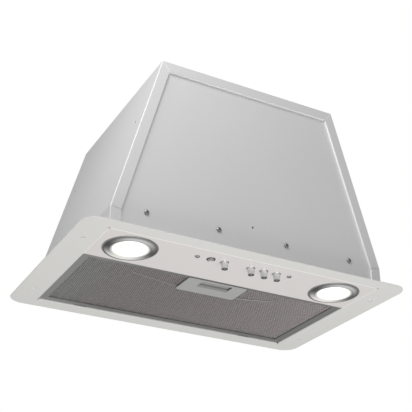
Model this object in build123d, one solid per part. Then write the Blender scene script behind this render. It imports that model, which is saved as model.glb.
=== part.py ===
from build123d import *
import math
import os

# Range hood insert: a built-in extractor. A flange is screwed up against the floor of a wall
# cabinet, and a folded pyramid body stands on it inside the cabinet. The window in the flange
# holds the control panel with its lamps and push-buttons, and a drop-down grease filter.
# A double-inlet blower hangs from the top sheet and blows up through a collar with two flaps.
#
# Millimetres. X is across, Y runs back to the wall, Z is up. The origin is the centre of the
# flange's upper face, which bears on the cabinet. The front is at -Y.

# ---- Flange
flange_width = 525.0
flange_depth = 335.0
flange_sheet = 1.2
flange_corner_radius = 25.0
flange_edge_bevel = 0.4
window_side_margin = 42.6
window_front_margin = 23.5
window_back_margin = 27.5
bend_inside_radius = 0.2
corner_relief = 1.2
lip_height = 14.0
front_lip_height = 42.0
mounting_inset_x = 23.0
mounting_inset_y = 67.5
mounting_hole_radius = 2.9

# ---- Body
body_sheet = 1.0
body_lip_clearance = 0.6
body_height = 291.0
body_top_width = 304.0
skirt_height = 30.0
fold_radius = 1.5
return_width = 16.0
mitre_slit = 0.4
plate_sheet = 0.8
plate_recess = 4.0
plate_overlap = 8.0
plate_foot_gap = 1.0
rear_chamber = 12.0
plate_screw_pitch = 112.0
plate_screw_height = 33.5
plate_pilot_height = 50.0
plate_pilot_radius = 1.5
side_pilot_radius = 2.0
side_pilot_height = 190.0
side_pilot_spacing = 240.0

# ---- Screws
screw_radius = 2.0
screw_hole_clearance = 0.15
pan_head_radius = 3.8
pan_head_height = 2.6
nut_radius = 3.6
nut_height = 3.0

# ---- Control panel
panel_sheet = 1.0
panel_depth = 91.5
panel_seam = 0.3
panel_front_lip_height = 40.0
panel_back_lip_height = 20.0
button_row_setback = 24.0
button_pitch = 21.8
bank_screw_spacing = 152.6
bank_screw_head_radius = 3.6
bank_screw_head_height = 1.9

# ---- Lamps
lamp_side_margin = 10.4
lamp_setback = 44.5
lamp_ring_radius = 39.5
lamp_ring_proud = 2.3
lamp_rim_proud = 1.1
lamp_glass_radius = 25.4
lamp_glass_proud = 1.5
lamp_glass_thickness = 3.0
lamp_glass_seat = 1.2
lamp_glass_clearance = 0.1
lamp_band_width = 3.2
lamp_crest_width = 1.4
lamp_ledge = 0.4
lamp_rim_land = 1.4
lamp_rim_edge = 0.6
lamp_sleeve_radius = 33.5
lamp_hole_clearance = 0.5
lamp_body_height = 20.0
lamp_base_height = 3.0
lamp_core_radius = 20.0
lamp_fin_radius = 31.0
lamp_fin_count = 3
lamp_fin_share = 0.45
lamp_clip_reach = 9.5
lamp_clip_width = 8.0
lamp_clip_sheet = 0.6
lamp_clip_shelf = 4.0
lamp_clip_foot = 1.0

# ---- Push-buttons and switch bank
button_radius = 5.3
button_tip_radius = 4.6
button_proud = 11.2
button_travel = 9.6
button_overtravel = 0.8
button_stem_height = 6.0
button_clearance = 0.35
button_seat_gap = 0.12
button_tip_round = 0.8
bezel_radius = 6.6
bezel_proud = 0.9
button_collar_width = 1.5
button_collar_height = 2.0
bank_wall = 1.5
bank_half_depth = 10.0
bank_headroom = 4.0
bank_standoff = 2.2
bank_end = 10.0
bank_foot_radius = 7.0

# ---- Grease filter
filter_sheet = 0.8
filter_side_gap = 0.8
filter_recess = 2.4
filter_height = 8.8
filter_side_margin = 11.5
filter_front_margin = 10.0
filter_back_margin = 10.5
mesh_sheet = 0.6
mesh_step = 1.0
core_sheet = 0.5
core_wave = 12.0
core_crest = 2.0
mesh_clearance = 0.1
hinge_inset = 0.4
hinge_drop = 0.2
lug_width = 20.0
lug_spacing = 300.0
lug_reach = 5.0
lug_clearance = 0.5

# ---- Filter latch
latch_plate_width = 100.0
latch_plate_depth = 48.5
latch_plate_sheet = 1.0
latch_plate_setback = 6.4
latch_plate_round = 4.0
finger_width = 52.0
finger_depth = 14.0
finger_setback = 5.0
scoop_depth = 0.6
scoop_reach = 6.3
scoop_step = 0.2
latch_case_width = 68.0
latch_case_depth = 34.0
latch_case_wall = 1.0
latch_slide_gap = 0.3
latch_slider_sheet = 1.2
latch_slider_rise = 1.9
latch_slider_depth = 24.0
latch_fin_sheet = 1.2
tongue_width = 28.0
tongue_clearance = 0.4
latch_spring_sheet = 0.4
latch_spring_width = 3.0

# ---- Blower
fan_height = 148.0
scroll_start_radius = 70.0
scroll_end_radius = 102.0
scroll_nose_angle = 75.0
scroll_point_count = 11
scroll_half_width = 46.0
scroll_wall = 2.0
inlet_radius = 52.0
inlet_flare = 4.5
scroll_boss_radius = 5.2
scroll_boss_height = 8.0
scroll_boss_clearance = 0.3
scroll_screw_end_gap = 1.0
scroll_boss_count = 5
scroll_boss_first_angle = 110.0
scroll_boss_step_angle = 55.0
throat_flange_width = 9.0
throat_flange_sheet = 2.5
wheel_radius = 65.0
wheel_inner_radius = 54.0
wheel_half_width = 42.0
wheel_ring = 1.2
wheel_disc = 1.5
wheel_hub_radius = 11.0
wheel_hub_half_length = 13.0
wheel_hub_taper = 3.0
blade_count = 30
blade_sheet = 0.8
blade_bow = 2.2
shaft_radius = 4.0
shaft_clearance = 0.05
motor_radius = 38.0
motor_stack_radius = 41.0
motor_front = 16.0
motor_length = 46.0
motor_bell_length = 14.0
motor_boss_radius = 13.0
motor_boss_length = 6.0
motor_face_taper = 6.0
motor_face_rise = 3.0
motor_shoulder_length = 8.0
bearing_radius = 8.0
bearing_length = 6.0
bracket_sheet = 2.5
bracket_arm_width = 12.0
bracket_ring_width = 8.0
bracket_fixing_radius = 66.0
bracket_arm_count = 3
bracket_first_angle = 90.0
isolator_radius = 6.5

# ---- Outlet
collar_offset = 18.0
collar_radius = 74.5
collar_wall = 2.0
collar_height = 42.0
collar_flange_radius = 92.0
collar_flange_sheet = 2.5
collar_fixing_radius = 84.0
collar_screw_count = 4
collar_root_chamfer = 2.0
collar_lip_chamfer = 1.0
adaptor_wall = 2.0
adaptor_length = 35.0
flap_pin_radius = 1.5
flap_pin_height = 18.0
flap_pin_clearance = 0.08
flap_pin_inset = 0.5
flap_barrel_radius = 3.2
flap_barrel_length = 26.0
flap_barrel_gap = 0.6
flap_web_gap = 0.3
flap_sheet = 1.2
flap_rim_clearance = 0.8
flap_stop_width = 3.5
flap_stop_height = 2.0
flap_stop_gap = 0.3

# ---- Electrical parts
terminal_box_width = 60.0
terminal_box_depth = 44.0
terminal_box_height = 30.0
terminal_box_wall = 2.0
terminal_box_inset_x = 50.0
terminal_box_inset_y = 42.0
gland_thread_radius = 8.0
gland_clearance = 0.2
gland_nut_radius = 12.0
gland_nut_height = 7.0
gland_bore_radius = 4.0
gland_depth = 9.0
gland_dome_height = 6.0
gland_dome_shoulder = 4.0
gland_dome_base_radius = 9.6
gland_dome_top_radius = 8.4
gland_lock_nut_radius = 11.0
gland_lock_nut_height = 4.0
capacitor_radius = 15.0
capacitor_height = 45.0
capacitor_round = 2.0
capacitor_inset_x = 48.0
capacitor_inset_y = 46.0
capacitor_drop = 8.0
capacitor_band = 0.8
capacitor_band_height = 12.0
capacitor_band_drop = 2.0
capacitor_clip_width = 12.0
capacitor_clip_reach = 12.0
capacitor_tag_spacing = 10.0
capacitor_tag_width = 6.0
capacitor_tag_height = 6.0
capacitor_tag_sheet = 0.8
driver_width = 76.0
driver_depth = 36.0
driver_height = 22.0
driver_round = 3.0
driver_inset_x = 62.0
driver_inset_y = 34.0

# ---- How far a cutting shape runs past the face it opens
cut_past = 1.0

# ---- Places that follow from the sizes above
underside = -flange_sheet
bend_outside_radius = bend_inside_radius + flange_sheet
window_side = flange_width / 2 - window_side_margin
mounting_spacing_x = flange_width - 2 * mounting_inset_x
mounting_spacing_y = flange_depth - 2 * mounting_inset_y
window_front = -flange_depth / 2 + window_front_margin
window_back = flange_depth / 2 - window_back_margin
body_side = window_side + flange_sheet + body_lip_clearance + body_sheet
plate_back = window_front - flange_sheet
plate_front = plate_back - plate_sheet
body_front = plate_front - plate_recess
rear_plate_front = window_back + flange_sheet + rear_chamber
rear_plate_back = rear_plate_front + plate_sheet
body_back = rear_plate_back + plate_recess
side_slope = math.atan2(body_side - body_top_width / 2, body_height - skirt_height)
top_underside = body_height - body_sheet
screw_hole_radius = screw_radius + screw_hole_clearance
panel_back = window_front + panel_depth
panel_top = underside + panel_sheet
button_row = window_front + button_row_setback
button_places = [-2.5 * button_pitch, -1.5 * button_pitch, 0.5 * button_pitch,
                 1.5 * button_pitch, 2.5 * button_pitch]
bank_floor = panel_top + bank_standoff
plunger_room = button_stem_height + button_travel + button_overtravel
bank_height = bank_wall + plunger_room + bank_headroom
lamp_row = window_front + lamp_setback
lamp_spacing = 2 * (window_side - lamp_side_margin - lamp_ring_radius)
glass_face = underside - lamp_glass_proud
lamp_seat = glass_face + lamp_glass_thickness
filter_face = underside + filter_recess
filter_side = window_side - filter_side_gap
filter_front = panel_back + filter_side_gap
hinge_y = window_back - hinge_inset
hinge_z = filter_face - hinge_drop
filter_back = hinge_y - latch_slide_gap
filter_top = filter_face + filter_height
mesh_face = filter_face + filter_sheet + mesh_step
mesh_top = filter_top - filter_sheet
latch_plate_front = filter_front + latch_plate_setback
latch_plate_face = filter_face - latch_plate_sheet
finger_front = latch_plate_front + finger_setback
latch_case_front = finger_front - latch_case_wall
latch_case_top = filter_top - filter_sheet
slider_face = filter_face + latch_slider_rise
slider_front = finger_front + latch_slide_gap
slider_back = slider_front + latch_slider_depth
throat_front_offset = scroll_start_radius * math.cos(math.radians(scroll_nose_angle))
fan_y = collar_offset - (throat_front_offset + scroll_end_radius) / 2
throat_front = fan_y + throat_front_offset
throat_back = fan_y + scroll_end_radius
throat_rim = scroll_wall + throat_flange_width
scroll_side = scroll_half_width + scroll_wall
adaptor_top = top_underside - collar_flange_sheet
scroll_top = adaptor_top - adaptor_length
collar_bore_radius = collar_radius - collar_wall
collar_base = body_height + collar_flange_sheet
flap_pin_z = collar_base + flap_pin_height
terminal_box_x = body_top_width / 2 - terminal_box_inset_x
terminal_box_y = body_back - terminal_box_inset_y
capacitor_x = capacitor_inset_x - body_top_width / 2
capacitor_y = body_back - capacitor_inset_y
driver_x = body_top_width / 2 - driver_inset_x
driver_y = body_front + driver_inset_y
motor_back = motor_front + motor_length
bracket_face = motor_back + bracket_sheet


# ---- Shared shapes

def block(x, y, z):
    """A box from the low and high value along each axis."""
    size = [high - low for low, high in (x, y, z)]
    return Pos(*[(low + high) / 2 for low, high in (x, y, z)]) * Box(*size)


def rectangle(x, y):
    """A rectangle from the low and high value along each direction."""
    centre = [(low + high) / 2 for low, high in (x, y)]
    return Pos(*centre) * Rectangle(x[1] - x[0], y[1] - y[0])


def along_x(sketch, start, end):
    """A sketch of Y and Z, carried along X."""
    plane = Plane(origin=(start, 0, 0), x_dir=(0, 1, 0), z_dir=(1, 0, 0))
    return extrude(plane * sketch, amount=end - start)


def along_y(sketch, start, end):
    """A sketch of X and Z, carried along Y."""
    plane = Plane(origin=(0, end, 0), x_dir=(1, 0, 0), z_dir=(0, -1, 0))
    return extrude(plane * sketch, amount=end - start)


def along_z(sketch, start, end):
    """A sketch of X and Y, carried along Z."""
    return extrude(Pos(0, 0, start) * sketch, amount=end - start)


def outline(points):
    """A closed polygon through points of the sketch plane."""
    return make_face(Polyline(*points, close=True))


def turned(points):
    """A profile of radius and height, revolved about Z."""
    return revolve(Plane.XZ * outline(points), axis=Axis.Z)


def upright_rod(radius, start, end):
    """A round bar along Z."""
    return along_z(Circle(radius), start, end)


def bent_lip(sheet, inside_radius, height, length):
    """A lip that turns up from a sheet's edge. It starts at X = 0 on the sheet's end,
    runs along Y about the origin, and the sheet's upper face is Z = 0."""
    outside = inside_radius + sheet
    bend = Pos(0, inside_radius) * (Circle(outside) - Circle(inside_radius))
    bend = bend & rectangle((0, outside), (inside_radius - outside, inside_radius))
    wall = rectangle((inside_radius, outside), (inside_radius, height))
    return along_y(bend + wall, -length / 2, length / 2)


def pan_screw(head_radius, head_height, shank_radius, length):
    """A pan-head screw that points down from Z = 0, with its head above."""
    bevel = head_height / 2
    return turned([(0, -length), (shank_radius, -length), (shank_radius, 0), (head_radius, 0),
                   (head_radius, head_height - bevel), (head_radius - bevel, head_height),
                   (0, head_height)])


def hex_nut(bore_radius, radius, start, end):
    """A six-sided nut about Z."""
    return along_z(RegularPolygon(radius, 6) - Circle(bore_radius), start, end)


def group(solids):
    """Separate solids that share one node."""
    return Compound(children=[piece for solid in solids for piece in solid.solids()])


def about_fan(shape):
    """A shape built about Z, with Z turned to point left along the fan's axis."""
    return Pos(0, fan_y, fan_height) * Rot(0, -90, 0) * shape


# ---- Flange and body

def flange_frame():
    """The flat rim with its rounded corners, window, lips and mounting holes."""
    sheet = RectangleRounded(flange_width, flange_depth, flange_corner_radius)
    opening = rectangle(
        (-window_side - bend_outside_radius, window_side + bend_outside_radius),
        (window_front - bend_outside_radius, window_back + bend_outside_radius))
    plate = along_z(sheet, underside, 0)
    rim = plate.faces().sort_by(Axis.Z)[0].edges()
    plate = chamfer(rim, flange_edge_bevel) - along_z(opening, underside, 0)
    window_depth = window_back - window_front
    middle = (window_front + window_back) / 2
    across = 2 * (window_side - corner_relief)
    along = window_depth - 2 * corner_relief
    side_lip = bent_lip(flange_sheet, bend_inside_radius, lip_height, along)
    front_lip = bent_lip(flange_sheet, bend_inside_radius, front_lip_height, across)
    back_lip = bent_lip(flange_sheet, bend_inside_radius, lip_height, across)
    side_start = window_side + bend_outside_radius
    frame = plate + Pos(-side_start, middle, 0) * side_lip
    frame += Pos(side_start, middle, 0) * Rot(0, 0, 180) * side_lip
    frame += Pos(0, window_front - bend_outside_radius, 0) * Rot(0, 0, 90) * front_lip
    frame += Pos(0, window_back + bend_outside_radius, 0) * Rot(0, 0, -90) * back_lip
    for place in GridLocations(mounting_spacing_x, mounting_spacing_y, 2, 2):
        frame -= place * upright_rod(mounting_hole_radius, 2 * underside, -underside)
    for x in plate_screw_places():
        hole = Pos(x, plate_screw_height) * Circle(screw_hole_radius)
        frame -= along_y(hole, plate_back - cut_past, window_front + cut_past)
    for x in (-lug_spacing / 2, lug_spacing / 2):
        frame -= lug_slot(x)
    return frame


def lug_slot(x):
    """The slot in the back lip that a lug of the filter reaches through."""
    half = lug_width / 2 + lug_clearance
    low = filter_face - lug_clearance
    high = hinge_z + lug_reach + filter_sheet + lug_clearance
    back = window_back + flange_sheet
    return block((x - half, x + half), (window_back - cut_past, back + cut_past), (low, high))


def plate_screw_places():
    """X of each screw of the front plate."""
    return [(i - 1.5) * plate_screw_pitch for i in range(4)]


def body_corners(inset):
    """Fold and top corner of the body's right half, seen from the front, moved inwards."""
    fold = (body_side - inset, skirt_height - inset * math.tan(side_slope / 2))
    drop = inset + (body_height - inset - skirt_height) * math.sin(side_slope)
    top = (body_side - drop / math.cos(side_slope), body_height - inset)
    return fold, top


def body_section(inset):
    """The body seen from the front, moved inwards. It runs on below the flange."""
    fold, top = body_corners(inset)
    below = -2 * return_width
    half = [(fold[0], below), fold, top]
    section = outline(half + [(-x, z) for x, z in reversed(half)])
    if inset < fold_radius:
        bends = [v for v in section.vertices() if v.Y > 0]
        section = fillet(bends, fold_radius - inset)
    return section


def body_block(inset):
    """The solid that a section of the body sweeps, with its bends at both ends rounded."""
    solid = along_y(body_section(inset), body_front + inset, body_back - inset)
    ends = [solid.faces().sort_by(Axis.Y)[i].edges() for i in (0, -1)]
    rounded = [e for end in ends for e in end if e.center().Z > -return_width]
    return fillet(rounded, fold_radius - inset)


def mitre_cuts(start, end):
    """Thin slits where the returns of two neighbouring walls meet."""
    cuts = []
    for outer, inner in zip(body_corners(body_sheet + fold_radius), body_corners(return_width)):
        run = math.dist(outer, inner) + body_sheet
        angle = math.degrees(math.atan2(outer[1] - inner[1], outer[0] - inner[0]))
        slit = rectangle((-body_sheet, run - body_sheet), (-mitre_slit / 2, mitre_slit / 2))
        slit = Pos(*inner) * Rot(0, 0, angle) * slit
        cuts += [along_y(slit, start, end), along_y(mirror(slit, about=Plane.YZ), start, end)]
    return cuts


def body_wrapper():
    """One folded sheet: skirt, slanted sides and top, with returns at the front and back."""
    shell = body_block(0) - body_block(body_sheet)
    shell -= along_y(body_section(return_width), body_front - cut_past, body_back + cut_past)
    turned_in = body_section(return_width - body_sheet) - body_section(return_width)
    shell += along_y(turned_in, body_front + body_sheet, plate_front)
    shell += along_y(turned_in, rear_plate_back, body_back - body_sheet)
    for ends in ((body_front - cut_past, plate_front), (rear_plate_back, body_back + cut_past)):
        for cut in mitre_cuts(*ends):
            shell -= cut
    reach = 2 * flange_width
    shell -= block((-reach, reach), (-reach, reach), (-reach, 0))
    past_top = body_height + cut_past
    shell -= Pos(0, collar_offset) * upright_rod(collar_bore_radius, adaptor_top, past_top)
    for place in collar_fixings():
        shell -= place * upright_rod(screw_hole_radius, adaptor_top, past_top)
    gland_hole = upright_rod(gland_thread_radius + gland_clearance, adaptor_top, past_top)
    shell -= Pos(terminal_box_x, terminal_box_y) * gland_hole
    for y in (-side_pilot_spacing / 2, side_pilot_spacing / 2):
        hole = Pos(y, side_pilot_height) * Circle(side_pilot_radius)
        shell -= along_x(hole, -flange_width, flange_width)
    return shell


def closing_plate(front, back):
    """A flat plate behind the returns. Its edge lies past the turned-in lip."""
    section = body_section(return_width - plate_overlap)
    ground = rectangle((-flange_width, flange_width), (-body_height, plate_foot_gap))
    return along_y(section - ground, front, back)


def front_plate():
    """The screwed front plate with one small pilot hole."""
    plate = closing_plate(plate_front, plate_back)
    for x in plate_screw_places():
        hole = Pos(x, plate_screw_height) * Circle(screw_hole_radius)
        plate -= along_y(hole, plate_front - cut_past, plate_back + cut_past)
    pilot = Pos(0, plate_pilot_height) * Circle(plate_pilot_radius)
    return plate - along_y(pilot, plate_front - cut_past, plate_back + cut_past)


def rear_panel():
    """The back plate, with a foot that lies on the flange and reaches its back lip."""
    plate = closing_plate(rear_plate_front, rear_plate_back)
    half = body_side - return_width + plate_overlap
    foot_start = window_back + flange_sheet + bend_inside_radius
    foot = block((-half, half), (foot_start, rear_plate_back), (0, plate_sheet))
    riser = block((-half, half), (rear_plate_front, rear_plate_back), (0, plate_foot_gap))
    return plate + foot + riser


def front_plate_screws():
    """Four screws through the plate, the flange's tall front lip and the panel's front lip."""
    length = plate_sheet + flange_sheet + panel_sheet + nut_height
    screw = pan_screw(pan_head_radius, pan_head_height, screw_radius, length)
    return group([Pos(x, plate_front, plate_screw_height) * Rot(90, 0, 0) * screw
                  for x in plate_screw_places()])


def front_plate_nuts():
    """Press nuts behind the panel's front lip that take the plate's screws."""
    nut = hex_nut(screw_radius, nut_radius, 0, nut_height)
    return group([Pos(x, window_front + panel_sheet, plate_screw_height) * Rot(-90, 0, 0) * nut
                  for x in plate_screw_places()])


# ---- Control panel

def control_panel():
    """The flush sheet with holes for lamps and buttons, and lips at its front and back."""
    side = window_side - panel_seam
    front = window_front
    bend = bend_inside_radius + panel_sheet
    sheet = rectangle((-side, side), (front + bend, panel_back - bend))
    panel = along_z(sheet, underside, panel_top)
    across = 2 * (side - corner_relief)
    front_lip = bent_lip(panel_sheet, bend_inside_radius, panel_front_lip_height, across)
    back_lip = bent_lip(panel_sheet, bend_inside_radius, panel_back_lip_height, across)
    panel += Pos(0, front + bend, panel_top) * Rot(0, 0, -90) * front_lip
    panel += Pos(0, panel_back - bend, panel_top) * Rot(0, 0, 90) * back_lip
    for x in plate_screw_places():
        hole = Pos(x, plate_screw_height) * Circle(screw_hole_radius)
        panel -= along_y(hole, front - cut_past, front + panel_sheet + cut_past)
    for x in (-lamp_spacing / 2, lamp_spacing / 2):
        hole = upright_rod(lamp_sleeve_radius + lamp_hole_clearance, 2 * underside, cut_past)
        panel -= Pos(x, lamp_row) * hole
    for x in button_places:
        hole = upright_rod(button_radius + button_clearance, 2 * underside, cut_past)
        panel -= Pos(x, button_row) * hole
    for x in (-bank_screw_spacing / 2, bank_screw_spacing / 2):
        panel -= Pos(x, button_row) * upright_rod(screw_hole_radius, 2 * underside, cut_past)
    return panel - tongue_slot(panel_back - bend, panel_back + cut_past)


def tongue_slot(front, back):
    """The slot that the latch's tongue passes through in a wall between front and back."""
    half = tongue_width / 2 + tongue_clearance
    low = slider_face - tongue_clearance
    high = slider_face + latch_slider_sheet + tongue_clearance
    return block((-half, half), (front, back), (low, high))


def bank_screws():
    """Two small screws whose heads show at the ends of the button row."""
    screw = pan_screw(bank_screw_head_radius, bank_screw_head_height, screw_radius,
                      panel_sheet + bank_standoff + bank_wall)
    return group([Pos(x, button_row, underside) * Rot(180, 0, 0) * screw
                  for x in (-bank_screw_spacing / 2, bank_screw_spacing / 2)])


def switch_bank():
    """The moulded trough that guides the plungers and stands on the panel."""
    half = bank_screw_spacing / 2 + bank_end
    depth = (button_row - bank_half_depth, button_row + bank_half_depth)
    case = block((-half, half), depth, (bank_floor, bank_floor + bank_height))
    case = fillet(case.edges().filter_by(Axis.Z), 2 * bank_wall)
    case -= block((-half + 2 * bank_end, half - 2 * bank_end),
                  (depth[0] + bank_wall, depth[1] - bank_wall),
                  (bank_floor + bank_wall, bank_floor + bank_height))
    through = bank_floor + bank_wall + cut_past
    for x in button_places:
        hole = upright_rod(button_radius + button_clearance, bank_floor - cut_past, through)
        case -= Pos(x, button_row) * hole
    for x in (-bank_screw_spacing / 2, bank_screw_spacing / 2):
        case += Pos(x, button_row) * upright_rod(bank_foot_radius, panel_top, bank_floor)
        case -= Pos(x, button_row) * upright_rod(screw_hole_radius, panel_top - cut_past, through)
    return case


def switch_bank_cover():
    """The contact board that closes the trough."""
    half = bank_screw_spacing / 2 + bank_end
    top = bank_floor + bank_height
    board = block((-half, half), (button_row - bank_half_depth, button_row + bank_half_depth),
                  (top, top + bank_wall))
    return fillet(board.edges().filter_by(Axis.Z), 2 * bank_wall)


def button_bezels():
    """Five chromed rings around the buttons."""
    bore = button_radius + button_clearance
    low = underside - bezel_proud
    ring = turned([(bore, underside), (bore, low), (bezel_radius - bezel_proud / 2, low),
                   (bezel_radius, low + bezel_proud / 2), (bezel_radius, underside)])
    return group([Pos(x, button_row) * ring for x in button_places])


def push_button(x, pressed):
    """A tapered plunger. Its collar rests on the bank's floor when the button is out."""
    tip = underside - button_proud
    collar = bank_floor + bank_wall + button_seat_gap
    collar_top = collar + button_collar_height
    top = collar + button_stem_height
    rim = button_radius + button_collar_width
    plunger = turned([(0, tip), (button_tip_radius - button_tip_round, tip),
                      (button_tip_radius, tip + button_tip_round),
                      (button_radius, underside - bezel_proud), (button_radius, collar),
                      (rim, collar), (rim, collar_top), (button_tip_radius, collar_top),
                      (button_tip_radius, top), (0, top)])
    return Pos(x, button_row, pressed) * plunger


# ---- Lamps

def lamp_ring(x):
    """The pressed trim ring: rim, bevel, crest, inner band and the sleeve through the panel."""
    crest = underside - lamp_ring_proud
    low = underside - lamp_rim_proud
    rim = lamp_ring_radius
    inner = lamp_glass_radius
    band = inner + lamp_band_width
    land = rim - lamp_rim_edge
    pocket = inner + lamp_glass_seat
    ring = turned([(inner, glass_face), (inner, glass_face - lamp_ledge), (band, crest),
                   (band + lamp_crest_width, crest), (land - lamp_rim_land, low), (land, low),
                   (rim, low + lamp_rim_edge), (rim, underside), (lamp_sleeve_radius, underside),
                   (lamp_sleeve_radius, lamp_seat), (pocket, lamp_seat), (pocket, glass_face)])
    return Pos(x, lamp_row) * ring


def lamp_glass(x):
    """The frosted lens that rests on the ring's inner ledge."""
    radius = lamp_glass_radius + lamp_glass_seat - lamp_glass_clearance
    return Pos(x, lamp_row) * upright_rod(radius, glass_face, lamp_seat)


def lamp_body(x):
    """The aluminium heat sink with ring fins."""
    top = lamp_seat + lamp_body_height
    base = lamp_seat + lamp_base_height
    points = [(0, lamp_seat), (lamp_sleeve_radius, lamp_seat), (lamp_sleeve_radius, base)]
    pitch = (top - base) / lamp_fin_count
    for i in range(lamp_fin_count):
        start = base + (i + 1 - lamp_fin_share) * pitch
        points += [(lamp_core_radius, base + i * pitch), (lamp_core_radius, start),
                   (lamp_fin_radius, start), (lamp_fin_radius, base + (i + 1) * pitch)]
    return Pos(x, lamp_row) * turned(points + [(0, top)])


def lamp_clips():
    """Spring clips that press each lamp down on the panel."""
    out = lamp_sleeve_radius
    shelf = out + lamp_clip_shelf
    far = out + lamp_clip_reach
    high = lamp_seat + lamp_base_height
    low = high - lamp_clip_sheet
    profile = outline([(out, high), (out, low), (shelf, low), (far - lamp_clip_foot, panel_top),
                       (far, panel_top), (shelf + lamp_clip_foot, high)])
    clip = along_y(profile, lamp_row - lamp_clip_width / 2, lamp_row + lamp_clip_width / 2)
    pair = [clip, mirror(clip, about=Plane.YZ)]
    return group([Pos(x, 0) * part
                  for x in (-lamp_spacing / 2, lamp_spacing / 2) for part in pair])


# ---- Grease filter

def filter_frame():
    """A folded channel round the mesh, with two lugs at the back and a slot for the latch."""
    side = (-filter_side, filter_side)
    length = (filter_front, filter_back)
    tube = block(side, length, (filter_face, filter_top))
    tube = fillet(tube.edges().filter_by(Axis.Z), 2 * filter_sheet)
    tube -= block((side[0] + filter_sheet, side[1] - filter_sheet),
                  (length[0] + filter_sheet, length[1] - filter_sheet),
                  (filter_face + filter_sheet, filter_top - filter_sheet))
    inner_side = filter_side - filter_side_margin
    inner_front = filter_front + filter_front_margin
    inner_back = filter_back - filter_back_margin
    tube -= block((-inner_side, inner_side), (inner_front, inner_back),
                  (filter_face - cut_past, filter_top + cut_past))
    hem = rectangle((-inner_side - filter_sheet, inner_side + filter_sheet),
                    (inner_front - filter_sheet, inner_back + filter_sheet))
    hem -= rectangle((-inner_side, inner_side), (inner_front, inner_back))
    tube += along_z(hem, filter_face + filter_sheet, mesh_face)
    for x in (-lug_spacing / 2, lug_spacing / 2):
        tube += block((x - lug_width / 2, x + lug_width / 2),
                      (filter_back - filter_sheet, hinge_y + lug_reach),
                      (filter_face, filter_face + filter_sheet))
    return tube - tongue_slot(filter_front - cut_past, filter_front + 2 * filter_sheet)


def latch_case_hole(low, high):
    """The space that the latch case takes in the mesh layers."""
    half = latch_case_width / 2 + latch_slide_gap
    front = filter_front
    back = latch_case_front + latch_case_depth + latch_slide_gap
    return block((-half, half), (front, back), (low, high))


def filter_mesh(low):
    """One sheet of expanded metal between the channel's two flanges."""
    inset = filter_sheet + mesh_clearance
    side = filter_side - inset
    length = (filter_front + inset, filter_back - inset)
    sheet = block((-side, side), length, (low, low + mesh_sheet))
    return sheet - latch_case_hole(low, low + mesh_sheet)


def filter_core():
    """The waved sheet between the two meshes."""
    low = mesh_face + mesh_sheet
    high = mesh_top - mesh_sheet
    inset = filter_sheet + mesh_clearance
    waves = int(2 * (filter_side - inset) / core_wave)
    start = -waves * core_wave / 2
    crests = []
    for i in range(waves):
        left = start + i * core_wave
        crests += [(left, low), (left + core_crest, low),
                   (left + core_wave / 2, high - core_sheet),
                   (left + core_wave / 2 + core_crest, high - core_sheet)]
    upper = [(x, z + core_sheet) for x, z in reversed(crests)]
    sheet = along_y(outline(crests + upper), filter_front + inset, filter_back - inset)
    return sheet - latch_case_hole(low, high)


def latch_plate():
    """The moulded plate with its finger opening, and the case behind it."""
    half = latch_plate_width / 2
    back = latch_plate_front + latch_plate_depth
    plate = block((-half, half), (latch_plate_front, back), (latch_plate_face, filter_face))
    plate = fillet(plate.edges().filter_by(Axis.Z), latch_plate_round)
    case_half = latch_case_width / 2
    case_back = latch_case_front + latch_case_depth
    case = block((-case_half, case_half), (latch_case_front, case_back),
                 (filter_face, latch_case_top))
    room = block((-case_half + latch_case_wall, case_half - latch_case_wall),
                 (latch_case_front + latch_case_wall, case_back - latch_case_wall),
                 (filter_face, latch_case_top - latch_case_wall))
    plate += case - room
    edge = finger_front + finger_depth
    plate += block((-case_half, case_half), (edge, edge + latch_case_wall),
                   (filter_face, slider_face - latch_slide_gap))
    plate -= block((-finger_width / 2, finger_width / 2),
                   (finger_front, edge),
                   (latch_plate_face - cut_past, filter_face + cut_past))
    plate -= finger_scoop()
    return plate - tongue_slot(latch_case_front - cut_past, latch_case_front + 2 * latch_case_wall)


def finger_scoop():
    """The shallow ramp behind the finger opening, which ends at a small step."""
    edge = finger_front + finger_depth
    half = finger_width / 2
    outside = latch_plate_face - cut_past
    ramp = outline([(edge - cut_past, outside), (edge + scoop_reach, outside),
                    (edge + scoop_reach, latch_plate_face + scoop_step),
                    (edge, latch_plate_face + scoop_depth),
                    (edge - cut_past, latch_plate_face + scoop_depth)])
    return along_x(ramp, -half, half)


def latch_slider():
    """The sprung slide: a tongue in front, and a finger fin that shows in the opening."""
    half = latch_case_width / 2 - latch_case_wall - latch_slide_gap
    high = slider_face + latch_slider_sheet
    slide = block((-half, half), (slider_front, slider_back), (slider_face, high))
    tip = panel_back + latch_slide_gap
    slide += block((-tongue_width / 2, tongue_width / 2), (tip, slider_front), (slider_face, high))
    fin_half = finger_width / 2 - latch_slide_gap
    fin_front = slider_front + latch_slide_gap
    return slide + block((-fin_half, fin_half), (fin_front, fin_front + latch_fin_sheet),
                         (filter_face + latch_slide_gap, slider_face))


def latch_spring():
    """A bowed leaf spring between the slide and the back of the case."""
    wall = latch_case_front + latch_case_depth - latch_case_wall
    span = latch_case_width / 2 - 2 * latch_case_wall
    foot = span - 2 * latch_spring_sheet
    outer = ThreePointArc((-span, wall), (0, slider_back), (span, wall))
    inner = ThreePointArc((foot, wall), (0, slider_back + latch_spring_sheet), (-foot, wall))
    ends = [Line((span, wall), (foot, wall)), Line((-foot, wall), (-span, wall))]
    low = slider_face - (latch_spring_width - latch_slider_sheet) / 2
    return along_z(make_face([outer, ends[0], inner, ends[1]]), low, low + latch_spring_width)


# ---- Blower

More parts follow.
